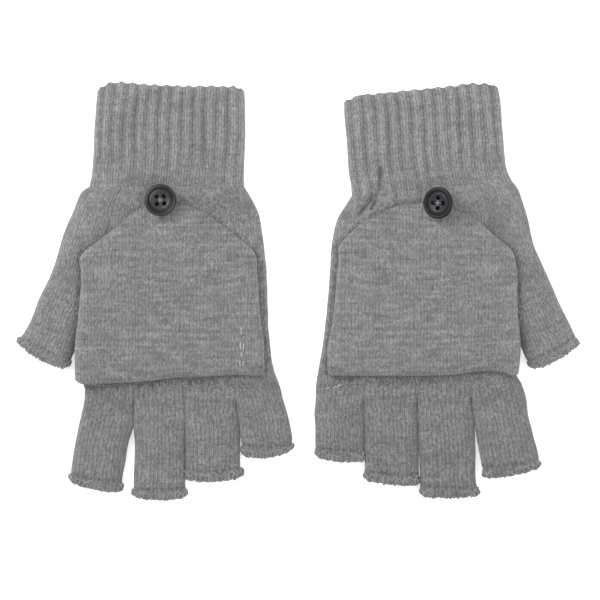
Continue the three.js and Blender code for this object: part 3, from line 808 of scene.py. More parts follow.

# painted light and shade: soft lighter and darker patches of (u, v, reach along u, reach along v, gain), on
# the flap or on all the rest
GLOVES = {
    "left": dict(
        side=-1, seam_middle=(-0.5, -0.15), button_turn=3, button_tilt=0, tail=(4.3, 77.0),
        tacking_on="flap",
        stitches=[((-33.4, 24), (-33.5, 20.9)), ((-33.1, 16.8), (-33.2, 13.6)), ((-34.6, 16.2), (-34.5, 14)),
                  ((-33.5, 12), (-33.6, 10.2)), ((-32.8, 8.3), (-33.0, 5.8)), ((-34.4, 8.1), (-34.2, 6.1))],
        splits={"index": EARLY, "middle": LATE, "ring": EARLY},
        splits_right={"middle": EARLY, "ring": LATE, "little": EARLY},
        cuff_top=profile((0, -3.8), (0.035, -1.6), (0.1, -0.4), (0.5, -0.2), (0.7, 0.2), (0.85, 1.2),
                         (0.93, 0.3), (0.97, -1.7), (1, -4.2)),
        rib_start=profile((0, 0.28), (0.4, 0.18), (1, 0.28)),
        flap_mouth=profile((0, 1.0), (0.02, 0.2), (0.06, 0.3), (0.13, 0.9), (0.43, 1.1), (0.7, -0.3),
                           (0.9, -0.6), (0.956, -0.4), (0.985, 0.5), (1, 1.5)),
        creases=[],
        painted_light_and_shade=dict(
            under=[(30, 88, 6, 9, 0.16), (23, 79, 7, 6, -0.17), (-21, 82, 15, 5, -0.16),
                   (35, 115, 4.5, 24, 0.16), (-34, 115, 4.5, 24, 0.16), (0, 138, 40, 3.5, 0.14),
                   (-45, 36, 4, 22, 0.1), (-32, 77, 8, 8, -0.13), (37, 74, 6, 9, 0.1),
                   (31, -17, 9, 9, -0.08)],
            flap=[(1, 75, 8, 8, 0.12), (-42, 38, 5, 22, 0.13), (0, 30, 60, 45, -0.035)]),
        hand=outline(
            (-34.6, 90, 22.8, 90), (-38.4, 84, 25.4, 83), (-40.9, 79, 27.6, 76), (-43.7, 68, 31, 64),
            (-45.1, 56, 34.3, 52), (-45.6, 40, 37.7, 38), (-46.2, 26, 39.6, 26), (-47.4, 12, 39.4, 12),
            (-49.8, 2, 39.8, 1), (-51.7, -4, 40.3, -4)),
        thumb=outline(
            (22.8, 90, 38.0, 90), (23.8, 87.4, 41.2, 88), (25.4, 83, 43.8, 84.4),
            (27.6, 76, 47.3, 76.3), (31, 64, 51.6, 64), (34.3, 52, 56, 51.5), (37, 40, 58.5, 44.5),
            (39.6, 26.3, 62.4, 36.4), (43.2, 16.2, 66.9, 26.2), (47.6, 5.8, 71.2, 18)),
        index=outline(
            (17.2, -4, 40.3, -4), (16.9, -12, 40.9, -11), (16.7, -21, 43, -21),
            (19.2, -29.5, 44.9, -30), (20.9, -39.5, 46.6, -39), (23.4, -53, 47.7, -47.6)),
        middle=outline(
            (-6.7, -4, 17.2, -4), (-7.0, -12, 17.4, -12), (-7.2, -32, 17.2, -32),
            (-7.3, -45, 17.2, -45), (-7.5, -55, 17.2, -55.4)),
        ring=outline(
            (-30.8, -4, -6.7, -4), (-31.3, -10, -6.5, -12), (-32.5, -22, -6.5, -24),
            (-32.9, -36, -6.6, -36), (-33.3, -46, -6.9, -47)),
        little=outline(
            (-51.7, -4, -30.8, -4), (-53.2, -9.5, -30.8, -9.5), (-56, -19.7, -31.5, -19.7),
            (-57.6, -29, -32.4, -28), (-57.2, -33.8, -34.0, -36.4)),
        cuff=outline(
            (-34.6, 90, 38.0, 90), (-35.7, 104, 37.1, 104), (-36.2, 122, 36.7, 122),
            (-36.4, 137, 35, 138)),
        flap=outline(
            (-44.4, 1.7, 44.4, -2.0), (-44.7, 9.4, 44.7, 6), (-44.3, 17, 44.8, 14.6),
            (-43.2, 25.4, 43.6, 26), (-41.4, 43, 42.5, 38), (-40.6, 52, 41.9, 50), (-39.6, 59.5, 41.4, 58.5),
            (-36, 63.4, 37, 62.6), (-30.5, 68, 30.5, 67.6), (-22.5, 74, 22.4, 73.6), (-16, 78.2, 15.6, 79),
            (-9, 81, 9.5, 81.4), (-4, 82.2, 4.5, 82.6)),
    ),
    "right": dict(
        side=1, seam_middle=(0, 0.1), button_turn=42, button_tilt=-26, tail=(8.2, 74.0),
        tacking_on="hand",
        stitches=[((-42.3, -6), (-41.1, -5)), ((-40.7, -5.8), (-39.7, -4.4)), ((-39.4, -4.8), (-38.4, -4.3)),
                  ((-45.3, -6), (-44.2, -5.7))],
        splits={"index": EARLY, "middle": EARLY, "ring": EARLY},
        splits_right={"middle": EARLY, "ring": EARLY, "little": EARLY},
        cuff_top=profile((0, -1.8), (0.03, -0.4), (0.12, 1.5), (0.3, 1.5), (0.55, 1.2), (0.8, 1.6),
                         (0.95, -0.1), (1, -2.2)),
        rib_start=profile((0, 0.5), (0.2, 0.75), (0.5, 0.7), (0.62, 0.25), (1, 0.15)),
        flap_mouth=profile((0, 0.8), (0.02, 0.1), (0.5, 0), (0.62, 0.5), (0.8, 2.0), (0.88, 2.2),
                           (0.93, 1.4), (0.97, 0.0), (1, 0.6)),
        creases=[dict(path=[(-19.8, 97), (-20.4, 90), (-21.4, 84), (-24, 78.6)], deep=1.3, wide=1.0),
                 dict(path=[(-24, 84.5), (-25.4, 81.4), (-29.8, 75.6)], deep=1.5, wide=1.2)],
        painted_light_and_shade=dict(
            under=[(2, 108, 60, 26, 0.07), (37.5, 112, 5, 24, 0.13), (-14, 88, 22, 6, 0.12),
                   (34, 88, 9, 7, 0.12), (-33, 80, 7, 6, 0.09), (29, 73.5, 8, 6, -0.11),
                   (44, 38, 5, 24, 0.14), (-5, -42, 60, 14, -0.07), (0, 133, 40, 3.5, 0.12)],
            flap=[(12, 73, 10, 8, 0.16), (43, 30, 5, 30, 0.1)]),
        hand=outline(
            (-33.6, 84.4, 26, 89.9), (-38.5, 77, 29, 82), (-41.5, 70, 31, 74), (-43.4, 60, 33.5, 62),
            (-44.2, 46.5, 36.5, 50), (-44.8, 38, 38.4, 40), (-46.1, 26.8, 40.6, 26), (-47.8, 13, 40.8, 13),
            (-49.8, 1.4, 43.2, 1), (-50.4, -4, 46.4, -4)),
        thumb=outline(
            (26, 89.9, 41.6, 91.6), (27.4, 86, 44.6, 87.6), (29, 82, 46.4, 82.4),
            (31, 74, 49.4, 73.2), (33.5, 62, 52.6, 61), (36.5, 50, 56.7, 51), (38.4, 40, 60.3, 43),
            (40.6, 26, 63.6, 35.5), (45, 14.5, 68.8, 25.2), (49.4, 4.6, 72.8, 16.2)),
        index=outline(
            (22, -4, 46.4, -4), (22.1, -10, 48.6, -9.5), (23.6, -20, 49.7, -19.5),
            (24.9, -30, 51.8, -29), (26.4, -39, 54, -37), (28.3, -47.6, 55.3, -42.6)),
        middle=outline(
            (-2.9, -4, 22, -4), (-3.2, -11, 22.5, -11), (-2.6, -24, 24.3, -22),
            (-2.1, -40, 24.8, -36), (-1.7, -49, 25.1, -49), (-1.4, -55.7, 26.5, -55.7)),
        ring=outline(
            (-27.6, -4, -2.9, -4), (-28.3, -11, -2.8, -11), (-27.8, -30, -1.8, -30),
            (-27.6, -48.3, -1.7, -50.6)),
        little=outline(
            (-50.4, -4, -27.6, -4), (-50.9, -14, -27.6, -12), (-51.1, -28, -27.0, -28),
            (-50.7, -37.4, -26.8, -39.4)),
        cuff=outline(
            (-33.6, 84.4, 41.6, 91.6), (-35.7, 95, 39.5, 98), (-37.1, 110, 38.3, 116),
            (-38.1, 124, 37.2, 131), (-38.4, 128.8, 36, 136.8)),
        flap=outline(
            (-45, 0.3, 44.4, 0.4), (-45.2, 6, 45.2, 7), (-45.3, 12, 45.7, 13.2),
            (-43.6, 22, 45.1, 22.1), (-41.2, 40, 43.9, 40), (-40.2, 54, 43.7, 52), (-39.6, 61.2, 41.6, 58.8),
            (-35.5, 66, 36.6, 63.6), (-30.1, 70.7, 32, 67.2), (-21.9, 75.2, 23, 74.3), (-15, 78.6, 15, 78),
            (-8.5, 80.4, 9, 80), (-3.5, 81, 5, 80.8)),
    ),
}

JOINTS = {joint["name"]: joint for joint in frame["joints"]}


def bend_zone(joint_name, towards, before, after):
    """Start and end points of the cloth's bend at a joint, which turns the side that lies towards."""
    joint = JOINTS[joint_name]
    point = Vector(joint["pos_m"])
    across = Vector(joint["axis"]).cross(Vector((0, 0, 1)))
    if across.dot(Vector(towards)) < 0:
        across.negate()
    return point - across * before * MM, point + across * after * MM


RIB_DEPTH = 1.0
RIB_GROW, RIB_FADE = 24, 15     # millimetres over which the ribs grow above the wrist, and fade below it
CUFF_WIDTH = 6.5            # millimetres over which a cuff's side is rounded
PALM_WIDTH = 8.0
FOOT_TONE, FOOT_REACH = 0.9, 26     # tone of the cuff's foot, where it meets the hand
RIB_SHADE = 0.36            # how much darker the valleys between ribs are
CREASE_SHADE = 0.35
SCALLOP, SCALLOP_REACH, SCALLOP_MIDDLE = 0.8, 3.2, 0.45     # waves that the ribs draw on the cuff's end
EDGE_DENT, EDGE_DENT_REACH = 0.5, 1.8       # the flap's side edges press a groove into the hand
EDGE_LEFT, EDGE_RIGHT, EDGE_REACH = 0.25, 0.12, 1.5     # and shade it, more on the picture's left side
STUB_SEED = {"thumb": 1, "index": 2, "middle": 3, "ring": 4, "little": 5}
LOOPS_PER_FACE = 8
LUMPS = 16
BAND = 4.4                  # millimetres of a stub's end that the overcasting takes up
STITCH_HOLE = 0.6           # millimetres from the middle of a stitch hole to its rim
FLARE_FROM, WAVE_FROM = 3.6, 2.4
ARCH_STEPS, WHIP_STEPS = 26, 18     # points of the overcasting yarn to each arch and each whip
OVERCAST_RADIUS = 0.52
OVERCAST_LOW, OVERCAST_HIGH = 0.56, HAND_HIGH + 0.35


def bell(away, reach):
    """1 at no distance, and nearly 0 at twice the reach."""
    return np.exp(-(away / reach) ** 2)


def rib_relief(glove, on_cuff):
    """Ribs of the cuff, which run out over the wrist, and on the hand what lies round the flap's edge."""
    plan = glove.plan
    base_from, base_to = plan["cuff"][0]
    base = base_to - base_from
    span = np.linalg.norm(base)
    out = np.array([-base[1], base[0]]) / span

    def relief(outer, ring, share, along, tangent):
        def away_from(line):
            return distance_to(ring[..., :2].reshape(-1, 2), np.asarray(line, float)).reshape(share.shape)

        level = (outer[..., 2] - HAND_HIGH / 2) / (HAND_HIGH / 2)
        straight = np.stack([np.zeros_like(level), np.zeros_like(level), level], -1)
        if on_cuff:
            arc = np.where(share > 1, 2 - share, share)
            beyond = np.broadcast_to(along[:, None], arc.shape)
            turn = smoothstep(beyond / 5)[..., None]
            facing = normals_out(outer) * turn + straight * (1 - turn)
        else:
            place = ring[..., :2] - base_from
            beyond = place @ out
            x, _, length = section(PALM_WIDTH, PALM_WIDTH, span, HAND_HIGH / 2)
            arc = np.interp(place @ base / span, x, length / length[-1])
            facing = straight
        crest = (0.5 - 0.5 * np.cos(math.tau * RIBS * arc)) ** 0.85
        start = plan["rib_start"](arc)
        uneven = 0.86 + 0.2 * ripple(ring[..., 0] * 2.2, ring[..., 1] * 0.5, 31, 24)
        strength = np.where(beyond > 0, start + (1 - start) * smoothstep(beyond / RIB_GROW),
                            start * (1 - smoothstep(-beyond / RIB_FADE))) * np.clip(uneven, 0.5, 1.15)
        drop = (crest - 1) * RIB_DEPTH * strength
        shade = 1 - RIB_SHADE * strength * (1 - crest)
        if on_cuff:
            shade = shade * (FOOT_TONE + (1 - FOOT_TONE) * smoothstep(beyond / FOOT_REACH))
            near_end = smoothstep(1 - (along[-1] - along) / SCALLOP_REACH)[:, None]
            tip = near_end * (crest - SCALLOP_MIDDLE) * SCALLOP
            outer[..., :2] += tip[..., None] * (tangent * [glove.side, 1])[:, None]
        else:
            for side, on_right in ((0, glove.side < 0), (1, glove.side > 0)):
                away = away_from(plan["flap"][:7, side])
                drop = drop - EDGE_DENT * bell(away, EDGE_DENT_REACH)
                shade = shade * (1 - (EDGE_RIGHT if on_right else EDGE_LEFT) * bell(away, EDGE_REACH))
            # Painted shadow under the flap's mouth, and a darkening towards the fingers down to their knit's
            # tone.
            below = ring[..., 1] - plan["seam_middle"][1]
            shade = shade * (1 - 0.15 * bell(below + 0.4, 2.3) - 0.19 * smoothstep(-(below + 0.8) / 3))
        for crease in plan["creases"]:
            away = away_from(crease["path"])
            drop = drop - crease["deep"] * bell(away, crease["wide"]) * (level > 0.1)
            shade = shade * (1 - CREASE_SHADE * bell(away, crease["wide"] * 0.8))
        return outer + facing * drop[..., None], shade

    return relief


def stub_relief(glove, finger):
    """The overcast end of a stub: a thickened lumpy band with stitch holes above it and flared corners."""
    random = np.random.default_rng(STUB_SEED[finger] + 40 * (glove.side > 0))
    flare_left, flare_right = random.uniform(0.1, 0.9, 2) * (0.5 if finger == "thumb" else 1)
    lumps = random.uniform(-0.3, 0.3, LUMPS)

    def relief(outer, ring, share, along, tangent):
        back = (along[-1] - along)[:, None]
        phase = share * LOOPS_PER_FACE
        arch = 0.5 + 0.5 * np.cos(math.tau * phase)
        lump = np.interp(phase, np.arange(LUMPS), lumps, period=2 * LOOPS_PER_FACE)
        band = smoothstep(1 - back / BAND)
        hole = bell(back - BAND, STITCH_HOLE) * (1 - arch) ** 3 * (0.6 + lump)
        outer = outer + normals_out(outer) * (band * (0.3 + 0.2 * arch + 0.5 * lump) - 0.5 * hole)[..., None]
        flare = bell(share - 1, 0.07) * flare_right - bell(np.minimum(share, 2 - share), 0.07) * flare_left
        flare = flare * smoothstep((FLARE_FROM - back) / 1.5) * (1 - 0.5 * smoothstep(1 - back / 1.2))
        wave = smoothstep(1 - back / WAVE_FROM) * (0.25 * np.cos(math.tau * phase + 1) + 0.9 * lump)
        ahead = tangent * [glove.side, 1]
        sideways = np.stack([tangent[:, 1], -tangent[:, 0] * glove.side], -1)
        for amount, direction in ((flare, sideways), (wave, ahead)):
            outer[..., :2] += amount[..., None] * direction[:, None]
        # Painted shade: the stitch holes, the row above the band and the band under the overcast yarn are
        # darkened.
        return outer, 1 - 0.6 * hole - 0.15 * bell(back - BAND, 0.9) - 0.15 * band

    return relief


def read_surface(outer, normal, along, share, at_share, back):
    """Points and normals of a tube at shares round it, back from its end."""
    columns = outer.shape[1]
    column = np.interp(at_share, share, np.arange(columns + 1))
    row = np.interp(along[-1] - back, along, np.arange(len(along)))
    row0 = np.clip(np.floor(row).astype(int), 0, len(along) - 2)
    column0 = np.floor(column).astype(int)
    fr, fc = (row - row0)[:, None], (column - column0)[:, None]
    found = []
    for field in (outer, normal):
        a, b = field[row0, column0 % columns], field[row0, (column0 + 1) % columns]
        c, d = field[row0 + 1, column0 % columns], field[row0 + 1, (column0 + 1) % columns]
        found.append((a * (1 - fc) + b * fc) * (1 - fr) + (c * (1 - fc) + d * fc) * fr)
    return found


def overcast(glove, finger, tube, body):
    """Yarn over the open end of a stub: arches on its outside and a close whipping round the rim."""
    outer, along, share = tube
    normal = normals_out(outer)
    random = np.random.default_rng(STUB_SEED[finger] + 10 * (glove.side > 0))
    loops = 2 * LOOPS_PER_FACE

    def uneven(count, low, high, turns):
        knots = random.uniform(low, high, turns)
        return np.interp(np.arange(count) / count * turns, np.arange(turns + 1), np.append(knots, knots[0]))

    steps = loops * ARCH_STEPS
    turn = np.arange(steps) / steps
    wander = turn * loops + 0.22 * np.sin(turn * 5 * math.tau + 1) + 0.12 * np.sin(turn * 11 * math.tau)
    arch = np.abs(np.sin(math.pi * wander)) ** 0.8
    back = 0.5 + arch * uneven(steps, 1.3, 3.0, loops)
    points, facing = read_surface(outer, normal, along, share, 2 * turn, back)
    arches = points + facing * (uneven(steps, -0.08, 0.2, loops) + 0.08 * (1 - arch))[:, None]

    whips = loops * 2
    steps = whips * WHIP_STEPS
    turn = np.arange(steps) / steps
    points, facing = read_surface(outer, normal, along, share, 2 * turn, np.full(steps, 0.3))
    beyond, _ = read_surface(outer, normal, along, share, 2 * turn, np.full(steps, 1.5))
    angle = (turn * whips + 0.15 * np.sin(turn * 7 * math.tau)) * math.tau
    size = uneven(steps, 0.75, 1.2, whips)
    rim = (points - facing * 0.75 + facing * (0.9 * size * np.cos(angle))[:, None]
           + unit(points - beyond) * (0.1 + 1.0 * size * np.sin(angle))[:, None])
    for path in (arches, rim):
        path[:, 2] = np.clip(path[:, 2], OVERCAST_LOW, OVERCAST_HIGH)
    edge = strands(f"{glove.name}_{finger}_overcast", [arches, rim], OVERCAST_RADIUS, OVERCAST, 7, True)
    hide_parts(f"{glove.name}_{finger}_edge")
    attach(edge, body)


def stub(glove, finger, wales, relief, map_from, **settings):
    """One open-ended stub of the hand with its overcast edge."""
    name = f"{glove.name}_{finger}"
    tube, made = glove.tube(finger, wales=wales, relief=relief, fine_end=6.0, map_from=map_from, **settings)
    share = along_line(np.concatenate([tube[-1], tube[-1][:1]]))
    overcast(glove, finger, (tube, along_line(tube[:, tube.shape[1] // 4]), 2 * share / share[-1]), name)
    is_thumb = finger == "thumb"
    start, end = bend_zone(f"{name}_bend", (0, -1, 0), 0.5 if is_thumb else 3.8, 9 if is_thumb else 4.2)
    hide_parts(name if is_thumb else f"{name}_finger")
    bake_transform(made)


def build_glove(name, plan):
    glove = Glove(name, plan)
    hand = f"{name}_hand"

    _, cuff = glove.tube("cuff", width=CUFF_WIDTH, wall=1.3, ribs=True, end_shape=plan["cuff_top"],
                         fine_end=4.0, wales=RIB_WALES * RIBS, course=-COURSE,
                         relief=rib_relief(glove, True), material=RIB)
    start, end = bend_zone(f"{name}_wrist_bend", (0, 1, 0), -0.6, 9)
    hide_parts(f"{name}_cuff")
    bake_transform(cuff)

    _, palm = glove.tube("hand", width=PALM_WIDTH, free_right=(30.0, 10.0), lips=(False, False),
                         relief=rib_relief(glove, False))
    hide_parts(hand)
    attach(palm, hand)

    def thumb_relief(outer, ring, share, along, tangent):
        ribbed, shade = rib_relief(glove, False)(outer, ring, share, along, tangent)
        ended, end_shade = stub_relief(glove, "thumb")(ribbed, ring, share, along, tangent)
        return ended, shade * end_shade

    stub(glove, "thumb", THUMB_WALES, thumb_relief, (PALM_WALES, MAP_START), material=THUMB,
         free_left=(32.0, 10.0),
         end_shape=profile((0, -0.4), (0.06, 1.0), (0.25, 2.6), (0.5, 3.0), (0.75, 2.6), (1, 0.3)))
    round_end = profile((0, -1.3), (0.05, -0.1), (0.25, 0.9), (0.5, 1.2), (0.75, 0.9), (0.95, -0.1),
                        (1, -1.3))
    for n, finger in enumerate(reversed(FINGERS)):
        stub(glove, finger, FINGER_WALES, stub_relief(glove, finger),
             (n * FINGER_WALES, MAP_START + PALM_ROWS), width=7.0, material=FINGER, end_shape=round_end,
             free_left=plan["splits"].get(finger), free_right=plan["splits_right"].get(finger))

    flap_grid, flap = glove.tube("flap", width=3.6, wall=1.2, crown=True, lips=(True, True), wales=56,
                                 material=FLAP, start_shape=plan["flap_mouth"], end_reach=7.0,
                                 relief=flap_relief)
    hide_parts(f"{name}_flap", f"{name}_flap_tip")
    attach(flap, f"{name}_flap")
    flap_root(glove)
    knuckle_seam(glove)
    button(glove, flap_grid)
    tacking(glove, flap_grid)


def flap_relief(outer, ring, share, along, tangent):
    """Painted shade: the flap's mouth is a little darker, where its edge turns under."""
    shade = 1 - 0.13 * np.exp(-(along / 2.6) ** 2)
    return outer, np.broadcast_to(shade[:, None], outer.shape[:2])


def mouth_line(glove, back, count):
    """Points along the flap's mouth, moved back towards the fingers."""
    share = np.linspace(0.045, 0.955, count)
    start, end = glove.plan["flap"][0]
    u, v = (start + (end - start) * share[:, None]).T
    x, y = glove.world(u, v + glove.plan["flap_mouth"](share) - back)
    return np.array([x, y]).T + np.array(drift(x, y)).T


ROOT_FROM, ROOT_TO = -1.7, 4.2      # the sewn strip, in millimetres across the fold line
ROOT_LOW, ROOT_RISE, ROOT_HALF = 7.35, 0.85, 0.5
ROOT_MAP_START = 300
SEAM_POINTS = 760
SEAM_TWISTS = 27
SEAM_LENGTH = 84            # millimetres
SEAM_RADIUS = 0.34


def flap_root(glove):
    """The strip of the flap's lower layer that is sewn to the knuckles."""
    line = mouth_line(glove, 0.0, 96)
    reach = np.linspace(ROOT_FROM, ROOT_TO, 20)
    height = ROOT_LOW + ROOT_RISE * smoothstep((reach + 0.5) / 4)
    section_points = np.concatenate([np.stack([reach, height + ROOT_HALF], -1),
                                     np.stack([reach, height - ROOT_HALF], -1)[::-1]])
    grid = np.empty((len(line), len(section_points), 3))
    grid[..., 0] = line[:, None, 0]
    grid[..., 1] = line[:, None, 1] + section_points[None, :, 0]
    grid[..., 2] = section_points[None, :, 1]
    rows, columns = grid.shape[:2]
    quads, places = grid_quads(rows, columns, False, True)
    wales, courses = line[:, None, 0] / WALE + ROOT_MAP_START, np.arange(columns + 1)[None, :] * 0.3
    uv = np.stack(np.broadcast_arrays(wales, courses), -1)
    caps = end_caps(rows, columns)
    loop_uv = np.concatenate([uv.reshape(-1, 2)[places], np.zeros((len(caps), 4, 2))])
    strip = add_mesh(f"{glove.name}_flap_root", grid.reshape(-1, 3), np.concatenate([quads, caps]), loop_uv,
                     PLAIN, np.full(rows * columns, 0.8))
    start, end = bend_zone(f"{glove.name}_flap_fold", (0, 1, 0), 1.2, 2.4)
    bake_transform(strip)


def knuckle_seam(glove):
    """Linked stitches along the knuckles: a twisted row under the flap's edge, and dark legs below it. Their
    yarn is dark as painted shade: the legs stand for the shadowed stitch holes under the flap's mouth.
    """
    line = mouth_line(glove, 1.15, SEAM_POINTS)
    angle = np.arange(SEAM_POINTS) / SEAM_POINTS * SEAM_TWISTS * math.tau
    paths = []
    for shift in (0.0, math.pi):
        path = np.empty((SEAM_POINTS, 3))
        path[:, :2] = line
        path[:, 1] += 0.55 * np.sin(angle + shift)
        path[:, 2] = HAND_HIGH + 0.15 + 0.4 * np.cos(angle + shift)
        paths.append(path)
    random = np.random.default_rng(70 + glove.side)
    steps = np.linspace(0, 1, 8)
    place = 0.02
    while place < 0.98:
        x, y = line[int(place * SEAM_POINTS)]
        reach = random.uniform(0.7, 3.2)
        lean = random.uniform(-0.9, 0.9)
        paths.append(np.stack([x + lean * steps, y - 0.3 - reach * steps, HAND_HIGH + 0.2 - 0.2 * steps], -1))
        place += random.uniform(1.3, 6.5) / SEAM_LENGTH
    seam = strands(f"{glove.name}_seam_stitches", paths, SEAM_RADIUS, SHADOWED_SEAM, 6)
    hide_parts(f"{glove.name}_knuckle_seam")
    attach(seam, f"{glove.name}_hand")


def height_on(grid, x, y):
    """Height of a tube's upper face at a point of the plan."""
    top = grid[:, :grid.shape[1] // 2].reshape(-1, 3)
    near = np.argsort(np.hypot(top[:, 0] - x, top[:, 1] - y))[:4]
    return float(top[near, 2].mean())


LATHE_STEPS = 72


def lathe(name, outline_points, segments, material):
    """A turned solid from an outline of (radius, height) that starts and ends on its axis."""
    points = np.asarray(outline_points, float)
    at = along_line(points)
    fine = smooth_through(points, at, np.linspace(0, at[-1], LATHE_STEPS))[1:-1]
    fine[:, 0] = np.maximum(fine[:, 0], 0.02)
    turn = np.arange(segments) / segments * math.tau
    ring = np.stack([np.cos(turn), np.sin(turn)], -1)
    blocks = [np.concatenate([ring * r, np.full((segments, 1), z)], 1) for r, z in fine]
    blocks.append([[0, 0, points[0][1]], [0, 0, points[-1][1]]])
    quads, _ = grid_quads(len(fine), segments, False, True)
    first, base = len(fine) * segments, (len(fine) - 1) * segments
    triangles = [[first, (j + 1) % segments, j] for j in range(segments)]
    triangles += [[first + 1, base + j, base + (j + 1) % segments] for j in range(segments)]
    return add_mesh(name, np.concatenate(blocks), quads, np.zeros((len(quads), 4, 2)), material, None,
                    np.array(triangles))


BUTTON_PROFILE = [(0, -1.4), (2.6, -1.4), (5.2, -1.38), (6.6, -0.95), (7.35, -0.25), (7.5, 0.35), (7.25, 1.1),
                  (6.75, 1.45), (6.2, 1.4), (5.75, 0.95), (5.45, 0.45), (5.2, 0.35), (4.95, 0.62),
                  (4.4, 0.78), (3.2, 0.55), (1.6, 0.42), (0, 0.4)]
HOLE_OFFSET, HOLE_RADIUS = 1.7, 0.95
HOLE_PROFILE = [(0, -3)] + [(HOLE_RADIUS + wider, z) for wider, z in (
    (0, -3), (0, -2), (0, -1), (0, 0.2), (0.05, 0.4), (0.35, 0.9), (0.5, 3))] + [(0, 3)]
WEAR_AND_SHADE_AT = [0, 4.6, 5.0, 5.4, 6.1, 6.7, 7.2, 7.5]         # radii, and how light the plastic is there: lighter with wear towards the middle, darker with painted shade in the groove round the dish and at the outer edge
WEAR_AND_SHADE = [1.35, 1.25, 1.1, 0.85, 0.8, 0.9, 0.7, 0.5]
CROSS_REACH = HOLE_OFFSET * math.sqrt(2) - 1.2       # half the length of a thread between two holes
THREAD_RADIUS, PAD_RADIUS, CORE_RADIUS, TAIL_RADIUS = 0.22, 0.26, 0.75, 0.3
SHANK_RADIUS, SHANK_PITCH = 0.85, 0.42
PAD_TURNS = 5
LOOP_RADIUS = 0.55
LOOP_HALF = [(0.45, -5.2, 0.1), (1.6, -3.4, 0.9), (2.5, -1.2, 1.7), (2.2, 1.4, 2.1)]


def button_disc(name, place):
    """The turned button with four drilled holes, moved to its place."""
    disc = lathe(f"{name}_button_disc", BUTTON_PROFILE, 96, BUTTONS[name])
    offsets = [(x * HOLE_OFFSET, y * HOLE_OFFSET) for x, y in ((-1, -1), (-1, 1), (1, 1), (1, -1))]
    drills = []
    for n, (x, y) in enumerate(offsets):
        drill = lathe(f"{name}_drill_{n}", HOLE_PROFILE, 32, BUTTONS[name])
        drill.location = (x * MM, y * MM, 0)
        cut = disc.modifiers.new(f"hole_{n}", "BOOLEAN")
        cut.operation, cut.solver, cut.object = "DIFFERENCE", "EXACT", drill
        drills.append(drill)
    bpy.context.view_layer.update()
    drilled = bpy.data.meshes.new_from_object(disc.evaluated_get(bpy.context.evaluated_depsgraph_get()))
    disc.modifiers.clear()
    disc.data = drilled
    co = np.array([v.co for v in drilled.vertices]) / MM
    wear_and_shade = np.interp(np.hypot(co[:, 0], co[:, 1]), WEAR_AND_SHADE_AT, WEAR_AND_SHADE)
    # Painted shade: the underside and the insides of the four holes are darkened.
    wear_and_shade[co[:, 2] < -0.3] = 0.5
    for x, y in offsets:
        wear_and_shade[(np.hypot(co[:, 0] - x, co[:, 1] - y) < HOLE_RADIUS + 0.1) & (np.abs(co[:, 2]) < 1.3)] = 0.12
    layer = drilled.attributes.get("shade") or drilled.attributes.new("shade", "FLOAT", "POINT")
    layer.data.foreach_set("value", wear_and_shade.astype(np.float32))
    for drill in drills:
        bpy.data.objects.remove(drill)
    drilled.transform(place)
    return disc


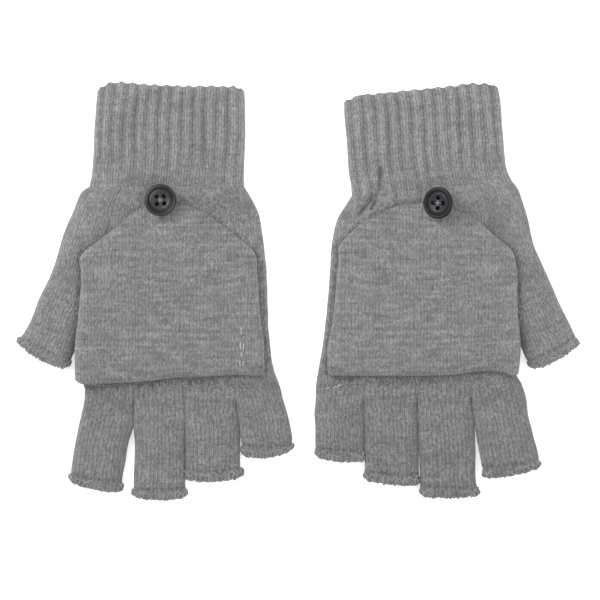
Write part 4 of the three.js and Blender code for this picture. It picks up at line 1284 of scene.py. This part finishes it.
def button(glove, flap_grid):
    """The button, its cross of thread and wound shank, and the cord loop round the shank."""
    name, plan = glove.name, glove.plan
    low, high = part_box(f"{name}_button")
    centre = (np.array(low) + np.array(high)) / 2 / MM - [0, 0.8, 0]
    tilt = math.radians(plan["button_tilt"])
    turned = Matrix.Rotation(tilt, 4, "Y") @ Matrix.Rotation(math.radians(plan["button_turn"]), 4, "Z")
    disc = button_disc(name, Matrix.Translation(Vector(centre * MM)) @ turned)
    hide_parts(f"{name}_button")
    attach(disc, f"{name}_button")

    paths = []
    for angle, lift in ((math.pi / 4, 0), (3 * math.pi / 4, 0.14)):
        ahead = np.array([math.cos(angle), math.sin(angle)])
        side = np.array([-ahead[1], ahead[0]])
        for shift in (-0.25, 0.0, 0.25):
            over = 0.72 + lift + 0.1 * (1 - abs(shift) / 0.25)
            path = [[*(ahead * c * CROSS_REACH + side * shift * (1 - 0.6 * abs(c))),
                     over - 0.42 * abs(c) ** 4] for c in np.linspace(-1, 1, 13)]
            ends = [[[*(ahead * sign * (CROSS_REACH + 0.1) + side * shift * 0.3), z]
                     for z in (-1.9, -1.0, -0.3)] for sign in (-1, 1)]
            paths.append(np.array(ends[0] + path + ends[1][::-1]))
    wound = np.linspace(0, 1, 120)
    turns = wound * PAD_TURNS * math.tau
    spiral = 1.1 + 2.2 * wound
    pad = np.stack([spiral * np.cos(turns), spiral * np.sin(turns), -1.72 - 0.06 * np.sin(wound * 17)], -1)
    matrix = np.array(turned)[:3, :3]
    foot = np.array([centre[0] - (centre[2] - HAND_HIGH) * math.tan(tilt) / 2, centre[1], HAND_HIGH - 0.3])
    top = matrix @ np.array([0, 0, -1.7]) + centre
    share = np.linspace(0, 1, 260)
    winding = share * (top[2] - foot[2]) / SHANK_PITCH * math.tau
    radius = SHANK_RADIUS + 0.25 * share ** 3
    shank = foot + (top - foot) * share[:, None]
    shank[:, 0] += radius * np.cos(winding)
    shank[:, 1] += radius * np.sin(winding)
    core = foot + (top - foot) * np.linspace(0, 1, 12)[:, None]
    paths = [path @ matrix.T + centre for path in paths]
    thread = strands(f"{name}_thread", paths + [shank], THREAD_RADIUS, THREAD)
    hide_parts(f"{name}_button_thread")
    core_strand = strands(f"{name}_shank_core", [core], CORE_RADIUS, THREAD, 12)
    # The pad under the button is wound in near-black thread: painted shade, so that the holes look dark.
    pad_strand = strands(f"{name}_shank_pad", [pad @ matrix.T + centre], PAD_RADIUS, SHADE_DARK_THREAD)
    for piece in (thread, core_strand, pad_strand):
        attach(piece, f"{name}_button")

    tip_x, tip_y = glove.world(*np.mean(plan["flap"][-1], axis=0))
    surface = height_on(flap_grid, tip_x, tip_y - 3.5)
    oval = LOOP_HALF + [(0, 2.7, 2.2)] + [(-x, y, z) for x, y, z in LOOP_HALF[::-1]]
    oval = np.array(oval) + [foot[0], foot[1], surface]
    at = along_line(oval)
    path = smooth_through(oval, at, np.linspace(0, at[-1], 90))
    loop = strands(f"{name}_loop_cord", [path], LOOP_RADIUS, CORD, 10)
    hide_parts(f"{name}_button_loop")
    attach(loop, f"{name}_flap")

    tail_x, tail_y = glove.world(*plan["tail"])
    steps = np.linspace(0, 1, 14)
    tails = []
    for n, (dx, length) in enumerate(((-0.35, 3.4), (0.3, 2.8))):
        lying = np.array([height_on(flap_grid, tail_x + dx, tail_y - t * length) for t in steps])
        tails.append(np.stack([tail_x + dx + 0.15 * np.sin(steps * 3 + n), tail_y - steps * length,
                               lying + 0.45 * np.sin(math.pi * steps) - 0.15], -1))
    tail = strands(f"{name}_loop_tail", tails, TAIL_RADIUS, THREAD)
    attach(tail, f"{name}_flap")


STITCH_DIVE = 0.22          # millimetres that the ends of a white stitch sink into the cloth


def tacking(glove, flap_grid):
    """Leftover white running stitches."""
    on_flap = glove.plan["tacking_on"] == "flap"
    steps = np.linspace(0, 1, 12)
    paths = []
    for ends in glove.plan["stitches"]:
        (x0, y0), (x1, y1) = (glove.world(u, v) for u, v in ends)
        x, y = x0 + (x1 - x0) * steps, y0 + (y1 - y0) * steps
        base = [height_on(flap_grid, *place) if on_flap else HAND_HIGH for place in zip(x, y)]
        paths.append(np.stack([x, y, base + 0.5 * np.sin(math.pi * steps) ** 0.6 - STITCH_DIVE], -1))
    stitches = strands(f"{glove.name}_white_tacking", paths, 0.2, WHITE)
    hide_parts(f"{glove.name}_tacking_thread")
    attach(stitches, f"{glove.name}_flap" if on_flap else f"{glove.name}_hand")


for glove_name, glove_plan in GLOVES.items():
    build_glove(glove_name, glove_plan)
